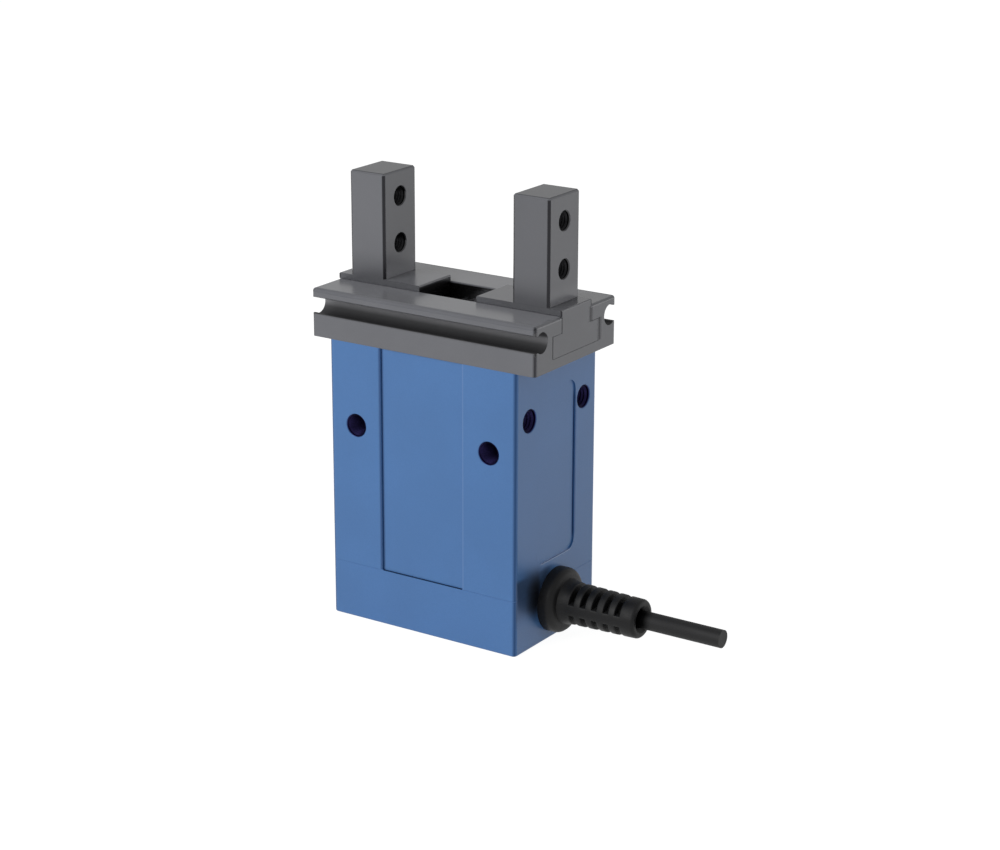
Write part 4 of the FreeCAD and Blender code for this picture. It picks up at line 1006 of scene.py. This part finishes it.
def boot_columns():
    """Columns round the boot: the spine that it belongs to or None, its place, and how deep it may drop."""
    columns = []
    for side in (0, 1):
        edge = spine_half_width - lip_round
        columns += [(side, step * edge, 0.0) for step in spine_steps]
        lip = [lip_step(k) for k in range(1, lip_steps + 1)]
        columns += [(side, edge + over, down) for over, down in lip]
        columns += [(None, side + (k + 0.5) / slot_columns, None) for k in range(slot_columns)]
        columns += [(1 - side, -edge - over, down) for over, down in reversed(lip)]
    return columns


def boot_point(row, column):
    """The point of a row and a column. Turn 0 is the back spine and half a turn the front one."""
    distance, radius, drop = row
    side, place, limit = column
    depth = drop if limit is None else min(drop, limit)
    here = radius - depth
    if side is None:
        whole, share = int(place), place - int(place)
        start = math.asin(min(sine_limit, (spine_half_width + wall_lean) / here))
        turn = whole * math.pi + start + share * (math.pi - 2 * start)
    else:
        turn = math.asin(max(-sine_limit, min(sine_limit, place / here)))
        turn = turn if side == 0 else math.pi + turn
    along = body_side / mm + distance
    return Vector((along, here * math.cos(turn), cable_height / mm + here * math.sin(turn))) * mm


def mesh_object(name, points, faces, material):
    mesh = bpy.data.meshes.new(name)
    mesh.from_pydata([tuple(p) for p in points], [], faces)
    mesh.validate()
    mesh.shade_smooth()
    mesh.set_sharp_from_angle(angle=smooth_up_to)
    mesh.materials.append(material)
    return add_object(name, mesh)


def make_boot():
    rows, columns = boot_rows(), boot_columns()
    points = [boot_point(row, column) for row in rows for column in columns]
    wide, faces = len(columns), []
    for r in range(len(rows)):
        for c in range(wide):
            here, onward, beside = r * wide, (r + 1) % len(rows) * wide, (c + 1) % wide
            faces.append((here + c, here + beside, onward + beside, onward + c))
    return mesh_object("boot_skin", points, faces, finishes["boot_rubber"])


boot = make_boot()
print("boot:", len(boot.data.vertices), "points,", len(boot.data.polygons), "faces")

# %% [markdown]
# ## Threads
# The mounting holes are tapped, so each one shows the turns of a thread inside its mouth. Modelled turn
# by turn they would be heavy in the solids. Geometry Nodes make one helix from a spiral and a small
# four-sided section, set it on every hole through points with a direction, and join the lot into one
# mesh for each body. The section's outer half is sunk in the metal, so only the ridge shows.

# %% Threads: the node tree
thread_sides = 4
thread_steps_per_turn = 28
thread_mouth = 0.55


def thread_tree(name):
    """A tree that puts one helix on each point of its input, turned by the point's own rotation."""
    tree = bpy.data.node_groups.new(name, "GeometryNodeTree")
    side = tree.interface
    side.new_socket("Geometry", in_out="INPUT", socket_type="NodeSocketGeometry")
    for label in ("Helix radius", "Ridge", "Pitch", "Turns"):
        side.new_socket(label, in_out="INPUT", socket_type="NodeSocketFloat")
    side.new_socket("Finish", in_out="INPUT", socket_type="NodeSocketMaterial")
    side.new_socket("Geometry", in_out="OUTPUT", socket_type="NodeSocketGeometry")
    add = tree.nodes.new
    given = add("NodeGroupInput")
    height = add("ShaderNodeMath")
    spiral = add("GeometryNodeCurveSpiral")
    normals = add("GeometryNodeSetCurveNormal")
    section = add("GeometryNodeCurvePrimitiveCircle")
    sweep = add("GeometryNodeCurveToMesh")
    turn = add("GeometryNodeInputNamedAttribute")
    copies = add("GeometryNodeInstanceOnPoints")
    real = add("GeometryNodeRealizeInstances")
    paint = add("GeometryNodeSetMaterial")
    result = add("NodeGroupOutput")
    height.operation = "MULTIPLY"
    spiral.inputs["Resolution"].default_value = thread_steps_per_turn
    normals.mode = "Z_UP"
    section.inputs["Resolution"].default_value = thread_sides
    sweep.inputs["Fill Caps"].default_value = True
    turn.data_type = "FLOAT_VECTOR"
    turn.inputs["Name"].default_value = "turn"
    wires = [(given, "Helix radius", spiral, "Start Radius"),
             (given, "Helix radius", spiral, "End Radius"),
             (given, "Turns", spiral, "Rotations"),
             (given, "Pitch", height, 0),
             (given, "Turns", height, 1),
             (height, 0, spiral, "Height"),
             (given, "Ridge", section, "Radius"),
             (spiral, 0, normals, "Curve"),
             (normals, 0, sweep, "Curve"),
             (section, "Curve", sweep, "Profile Curve"),
             (given, "Geometry", copies, "Points"),
             (sweep, 0, copies, "Instance"),
             (turn, "Attribute", copies, "Rotation"),
             (copies, 0, real, 0),
             (real, 0, paint, "Geometry"),
             (given, "Finish", paint, "Material"),
             (paint, 0, result, "Geometry")]
    for source, output, target, entry in wires:
        tree.links.new(source.outputs[output], target.inputs[entry])
    return tree


thread_maker = thread_tree("thread_maker")
print("thread tree:", len(thread_maker.nodes), "nodes")

# %% Threads: the finish and the mesh
ridge_sink = 0.04
tapped_roughness = 0.38
tapped_roughness_spread = 0.1
tapped_tone = 0.6


def tapped_metal(name, colour):
    """Cut metal in a deep hole, dark as painted shade, with a little gloss on the crests."""
    finish = Finish(name, colour, tapped_roughness, metallic=1.0)
    speck = finish.patches(grain=0.3)
    finish.set("Base Color", finish.mixed(speck, colour, shade(colour, tapped_tone)))
    finish.set("Roughness", tapped_roughness + speck * tapped_roughness_spread)
    finish.bump(finish.noise(grain=0.1), depth=0.004)


def make_threads(name, holes, radius, ridge, pitch, length, material):
    """One mesh with a helix in each hole. A hole is its mouth in millimetres and the turn that faces in."""
    mesh = bpy.data.meshes.new(name + "_points")
    mesh.from_pydata([Vector(place) * mm for place, turn in holes], [], [])
    turns = mesh.attributes.new("turn", "FLOAT_VECTOR", "POINT")
    turns.data.foreach_set("vector", [value for place, turn in holes for value in turn])
    maker = add_object(name + "_maker", mesh)
    modifier = maker.modifiers.new("threads", "NODES")
    modifier.node_group = thread_maker
    given = {"Helix radius": (radius - ridge_sink) * mm, "Ridge": ridge * mm, "Pitch": pitch * mm,
             "Turns": length / pitch, "Finish": material}
    for item in thread_maker.interface.items_tree:
        if item.in_out == "INPUT" and item.name in given:
            modifier[item.identifier] = given[item.name]
    shape = maker.evaluated_get(bpy.context.evaluated_depsgraph_get())
    made = add_object(name, bpy.data.meshes.new_from_object(shape))
    maker.modifiers.remove(modifier)
    bpy.data.objects.remove(maker)
    made.data.shade_flat()
    print(name, "has", len(made.data.polygons), "faces")
    return made


tapped_metal("blue_tapped", (0.0170, 0.0140, 0.0540))
tapped_metal("grey_tapped", (0.0220, 0.0220, 0.0240))
print("finishes:", len(finishes))

# %% Threads: in the body and in the jaws
m6_pitch = 1.0
m6_ridge = 0.5
m6_depth = 8.2
m5_pitch = 0.8
m5_ridge = 0.4
m5_length = finger_outer - finger_inner - 2 * thread_mouth
quarter = math.pi / 2
into_back, into_front = (-quarter, 0, 0), (quarter, 0, 0)
towards_right, towards_left = (0, quarter, 0), (0, -quarter, 0)


def body_holes():
    """Mouths of the eight M6 holes, each a little way in."""
    holes = []
    for side in (-1, 1):
        holes.append(((side * front_hole[0], thread_mouth - half_depth, front_hole[1]), into_back))
        holes.append(((side * front_hole[0], half_depth - thread_mouth, back_hole_height), into_front))
        holes.append(((half_width - thread_mouth, side * side_hole[0], side_hole[1]), towards_left))
        holes.append(((thread_mouth - half_width, side * side_hole[0], side_hole[1]), towards_right))
    return holes


def jaw_holes(side):
    mouth = finger_outer - thread_mouth
    turn = towards_left if side > 0 else towards_right
    return [((side * mouth, 0.0, height), turn) for height in finger_hole_heights]


body_threads = make_threads("body_threads", body_holes(), hole_radius, m6_ridge, m6_pitch,
                            m6_depth - thread_mouth, finishes["blue_tapped"])
jaw_threads = {}
for body, side in (("jaw_left", -1), ("jaw_right", 1)):
    jaw_threads[body] = make_threads(body + "_threads", jaw_holes(side), finger_hole_radius, m5_ridge,
                                     m5_pitch, m5_length, finishes["grey_tapped"])

# %% [markdown]
# ## Give each solid its finish
# A solid keeps its shape and gets a material in its slot. The record names a finish for every solid, so
# one table from that name to a material is enough. Rail and jaws share a finish by name, but the rail
# has masks of its own, so it is named apart from the two jaws, which share one finish.

# %% Finishes on the solids
own_finish = {"guide_rail": "grey_rail", "jaw_left": "grey_jaw", "jaw_right": "grey_jaw"}


def dress(thing, material):
    thing.data.materials.clear()
    thing.data.materials.append(material)


for part in frame["record"]["subparts"]:
    finish_name = own_finish.get(part["node"], part["material_slot"])
    dress(frame["nodes"][part["node"]], finishes[finish_name])
dress(cable, finishes["cable_jacket"])

# %% [markdown]
# ## Tie the pieces to the frame
# Each made piece rides on the body that carries it, so it moves with a joint. The boot's skin stands
# for the plain boot, the cable for its plain tube, and the threads come on top of the solids.

# %% Pieces on their bodies
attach(boot, "base")
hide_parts("cable_boot")
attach(body_threads, "base")
for body, threads in jaw_threads.items():
    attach(threads, body)
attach(cable, "base")
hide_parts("cable")
print("cable:", round(cable_length / mm, 1), "mm long")
